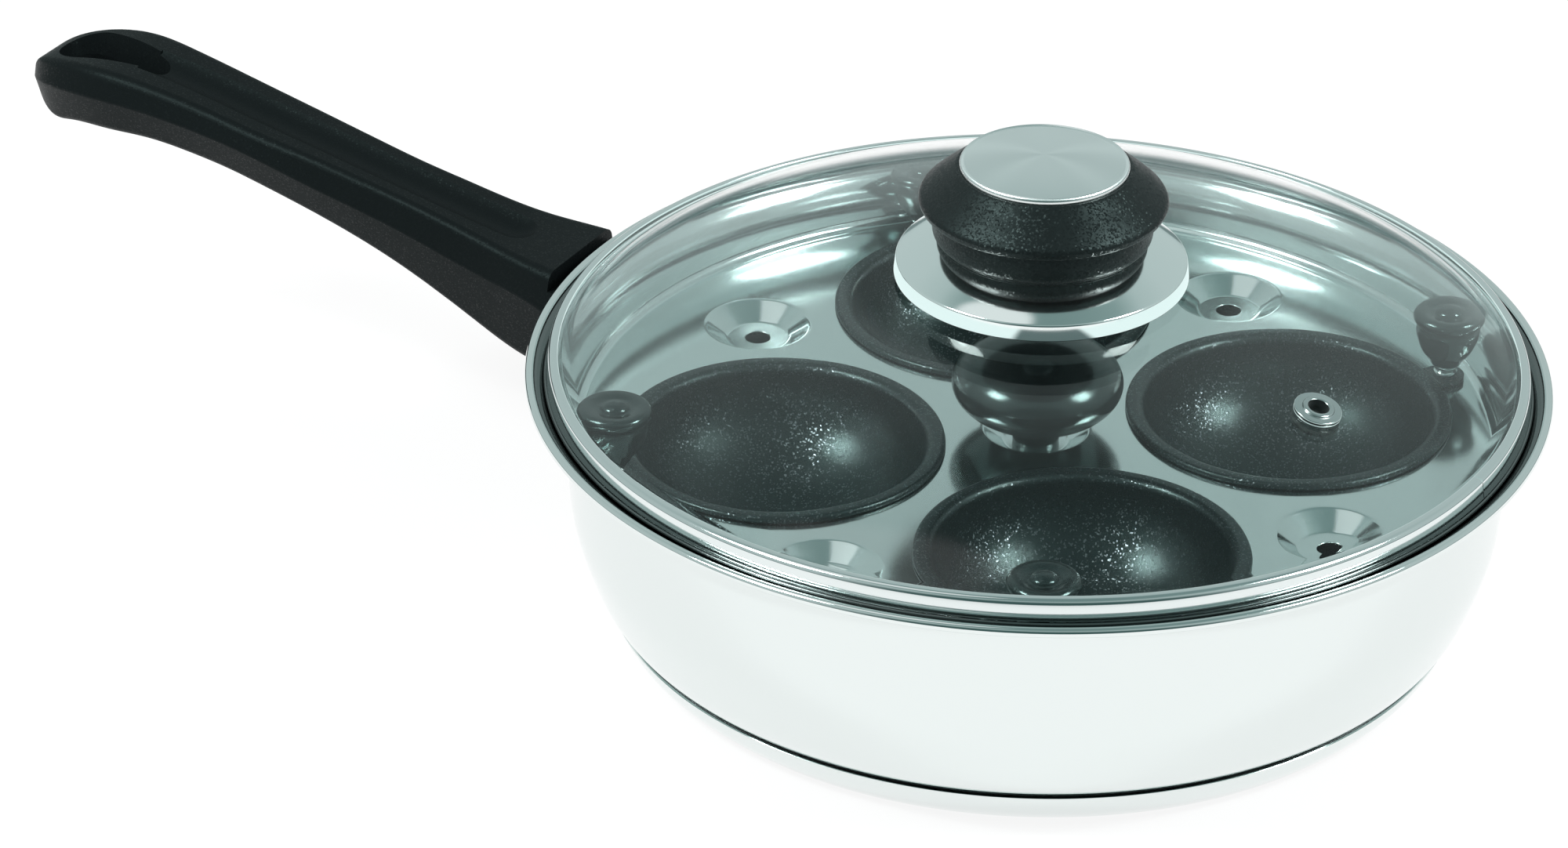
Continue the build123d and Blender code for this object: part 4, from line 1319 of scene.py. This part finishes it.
print("stage: floor, light and camera")
floorLook = {"size": 6.0, "grey": 0.93, "glowShare": 0.84, "fadeFrom": 0.42, "fadeTo": 0.75}
floorMesh = bpy.data.meshes.new("floor")
corners = [(x * floorLook["size"], y * floorLook["size"], 0) for x, y in ((-1, -1), (1, -1), (1, 1), (-1, 1))]
floorMesh.from_pydata(corners, [], [(0, 1, 2, 3)])
floorMaterial, tree, output = newMaterial("paleFloor")
diffuse = addNode(tree, "ShaderNodeBsdfDiffuse", inputs={"Color": (*[floorLook["grey"]] * 3, 1)})
glow = addNode(tree, "ShaderNodeEmission", inputs={"Color": (1, 1, 1, 1), "Strength": 1.0})
path = addNode(tree, "ShaderNodeLightPath")
seen = mathNode(tree, "MAXIMUM", path.outputs["Is Camera Ray"], path.outputs["Is Glossy Ray"])
seen = mathNode(tree, "MAXIMUM", seen, path.outputs["Is Transmission Ray"])
share = mathNode(tree, "MULTIPLY", seen, floorLook["glowShare"])
mixed = mixedShader(tree, share, diffuse, glow)
# far out, mirror rays see the floor as a dark teal glow: a painted dark reflection in the steel
place = addNode(tree, "ShaderNodeNewGeometry")
reach = vectorNode(tree, "LENGTH", {0: place.outputs["Position"]})
far = smoothStep(tree, reach.outputs["Value"], floorLook["fadeFrom"], floorLook["fadeTo"])
mirrored = mathNode(tree, "GREATER_THAN", path.outputs["Glossy Depth"], 0.5)
fade = mathNode(tree, "MULTIPLY", far.outputs[0], mirrored)
paintedMirrorDusk = addNode(tree, "ShaderNodeEmission", inputs={"Color": (0.16, 0.22, 0.22, 1), "Strength": 1.0})
faded = mixedShader(tree, fade, mixed, paintedMirrorDusk)
tree.links.new(faded.outputs[0], output.inputs["Surface"])
floorMesh.materials.append(floorMaterial)
floor = bpy.data.objects.new("floor", floorMesh)
bpy.context.scene.collection.objects.link(floor)
floor.location.z = -0.0002

world = bpy.data.worlds.new("studio")
bpy.context.scene.world = world
world.use_nodes = True
tree = world.node_tree
tree.nodes.clear()
output = tree.nodes.new("ShaderNodeOutputWorld")
path = addNode(tree, "ShaderNodeLightPath")
direction = addNode(tree, "ShaderNodeTexCoord")
studio = {
    "front": (0.4856, -0.8742, 0.0),
    "side": (-0.8742, -0.4856, 0.0),
    "backStops": ((0.0, 0.55), (0.1, 0.58), (0.4, 0.57), (0.6, 0.56), (0.77, 0.5), (0.87, 0.32), (1.0, 0.26)),
    "frontStops": ((0.0, 0.1), (0.45, 0.11), (0.8, 0.18), (1.0, 0.26)),
    "frontFrom": 0.55,
    "frontTo": 0.9,
    "panel": (-0.05, 0.30, 0.95),
    "panelFrom": 0.955,
    "panelTo": 0.975,
    "panelLevel": 0.8,
    "tint": (0.74, 1.0, 0.985),
    "tintPower": 1.2,
    "soft": 0.62,
}


def tinted(value):
    return (*[value ** (1 + (1 - t) * studio["tintPower"]) for t in studio["tint"]], 1)


def studioRamp(tree, value, stops):
    ramp = addNode(tree, "ShaderNodeValToRGB", inputs={"Fac": value})
    while len(ramp.color_ramp.elements) < len(stops):
        ramp.color_ramp.elements.new(0.5)
    for element, (at, level) in zip(ramp.color_ramp.elements, stops):
        element.position = at
        element.color = tinted(level)
    return ramp.outputs["Color"]


def towards(tree, facing, start, stop):
    lined = vectorNode(tree, "DOT_PRODUCT", {0: direction.outputs["Generated"], 1: facing})
    return smoothStep(tree, lined.outputs["Value"], start, stop).outputs[0]


def blended(tree, factor, a, b):
    return addNode(tree, "ShaderNodeMix", {"data_type": "RGBA"}, {"Factor": factor, 6: a, 7: b}).outputs[2]


parted = addNode(tree, "ShaderNodeSeparateXYZ", inputs={"Vector": direction.outputs["Generated"]})
backView = studioRamp(tree, parted.outputs["Z"], studio["backStops"])
frontView = studioRamp(tree, parted.outputs["Z"], studio["frontStops"])
frontShare = towards(tree, studio["front"], studio["frontFrom"], studio["frontTo"])
roomView = blended(tree, frontShare, backView, frontView)
f, l, u = studio["panel"]
panelFacing = Vector(studio["front"]) * f + Vector(studio["side"]) * l + Vector((0, 0, u))
panelShare = towards(tree, panelFacing.normalized(), studio["panelFrom"], studio["panelTo"])
roomView = blended(tree, panelShare, roomView, tinted(studio["panelLevel"]))
room = addNode(tree, "ShaderNodeBackground", inputs={"Color": roomView, "Strength": 1.0})
soft = addNode(tree, "ShaderNodeBackground", inputs={"Color": (1, 1, 1, 1), "Strength": studio["soft"]})
white = addNode(tree, "ShaderNodeBackground", inputs={"Color": (1, 1, 1, 1), "Strength": 1.0})
glossyPath = mathNode(tree, "GREATER_THAN", path.outputs["Glossy Depth"], 0.5)
notDiffuse = mathNode(tree, "SUBTRACT", 1.0, path.outputs["Is Diffuse Ray"])
mirrorShare = mathNode(tree, "MULTIPLY", glossyPath, notDiffuse)
mirrored = mixedShader(tree, mirrorShare, soft, room)
direct = mathNode(tree, "MAXIMUM", path.outputs["Is Camera Ray"], path.outputs["Is Transmission Ray"])
direct = mathNode(tree, "MULTIPLY", direct, mathNode(tree, "SUBTRACT", 1.0, glossyPath))
shown = mixedShader(tree, direct, mirrored, white)
tree.links.new(shown.outputs[0], output.inputs["Surface"])

lampColour = (0.93, 1.0, 0.99)
lamps = {
    "leftBox": {"at": (-0.62, -0.62, 0.97), "size": 0.42, "power": 9.0},
    "rightBox": {"at": (0.89, 0.24, 0.92), "size": 0.42, "power": 9.0},
    "leftCore": {"at": (-0.613, -0.613, 0.96), "size": 0.09, "power": 2.6},
    "rightCore": {"at": (0.88, 0.237, 0.91), "size": 0.09, "power": 2.6},
}
for name, lamp in lamps.items():
    light = bpy.data.lights.new(name, "AREA")
    light.shape = "SQUARE"
    light.size = lamp["size"]
    light.energy = lamp["power"]
    light.color = lampColour
    obj = bpy.data.objects.new(name, light)
    bpy.context.scene.collection.objects.link(obj)
    obj.location = lamp["at"]
    obj.rotation_mode = "QUATERNION"
    obj.rotation_quaternion = (-Vector(lamp["at"])).to_track_quat("-Z", "Y")

cameraPlace = {
    "at": (0.5362136, -1.0770050, 0.7127369),
    "forward": (-0.4233819, 0.7621705, -0.4851565),
    "roll": -0.01145554,
    "lens": 146.68813,
}
forward = Vector(cameraPlace["forward"]).normalized()
across = forward.cross(Vector((0, 0, 1))).normalized()
down = forward.cross(across)
roll = cameraPlace["roll"]
rolledAcross = across * math.cos(roll) + down * math.sin(roll)
rolledDown = down * math.cos(roll) - across * math.sin(roll)
cameraData = bpy.data.cameras.new("camera")
cameraData.lens = cameraPlace["lens"]
cameraData.sensor_width = 36
camera = bpy.data.objects.new("camera", cameraData)
bpy.context.scene.collection.objects.link(camera)
turn = Matrix((rolledAcross, -rolledDown, -forward)).transposed()
camera.matrix_world = Matrix.Translation(cameraPlace["at"]) @ turn.to_4x4()
bpy.context.scene.camera = camera
bpy.context.scene.view_settings.view_transform = "Standard"

print("stage: finish")
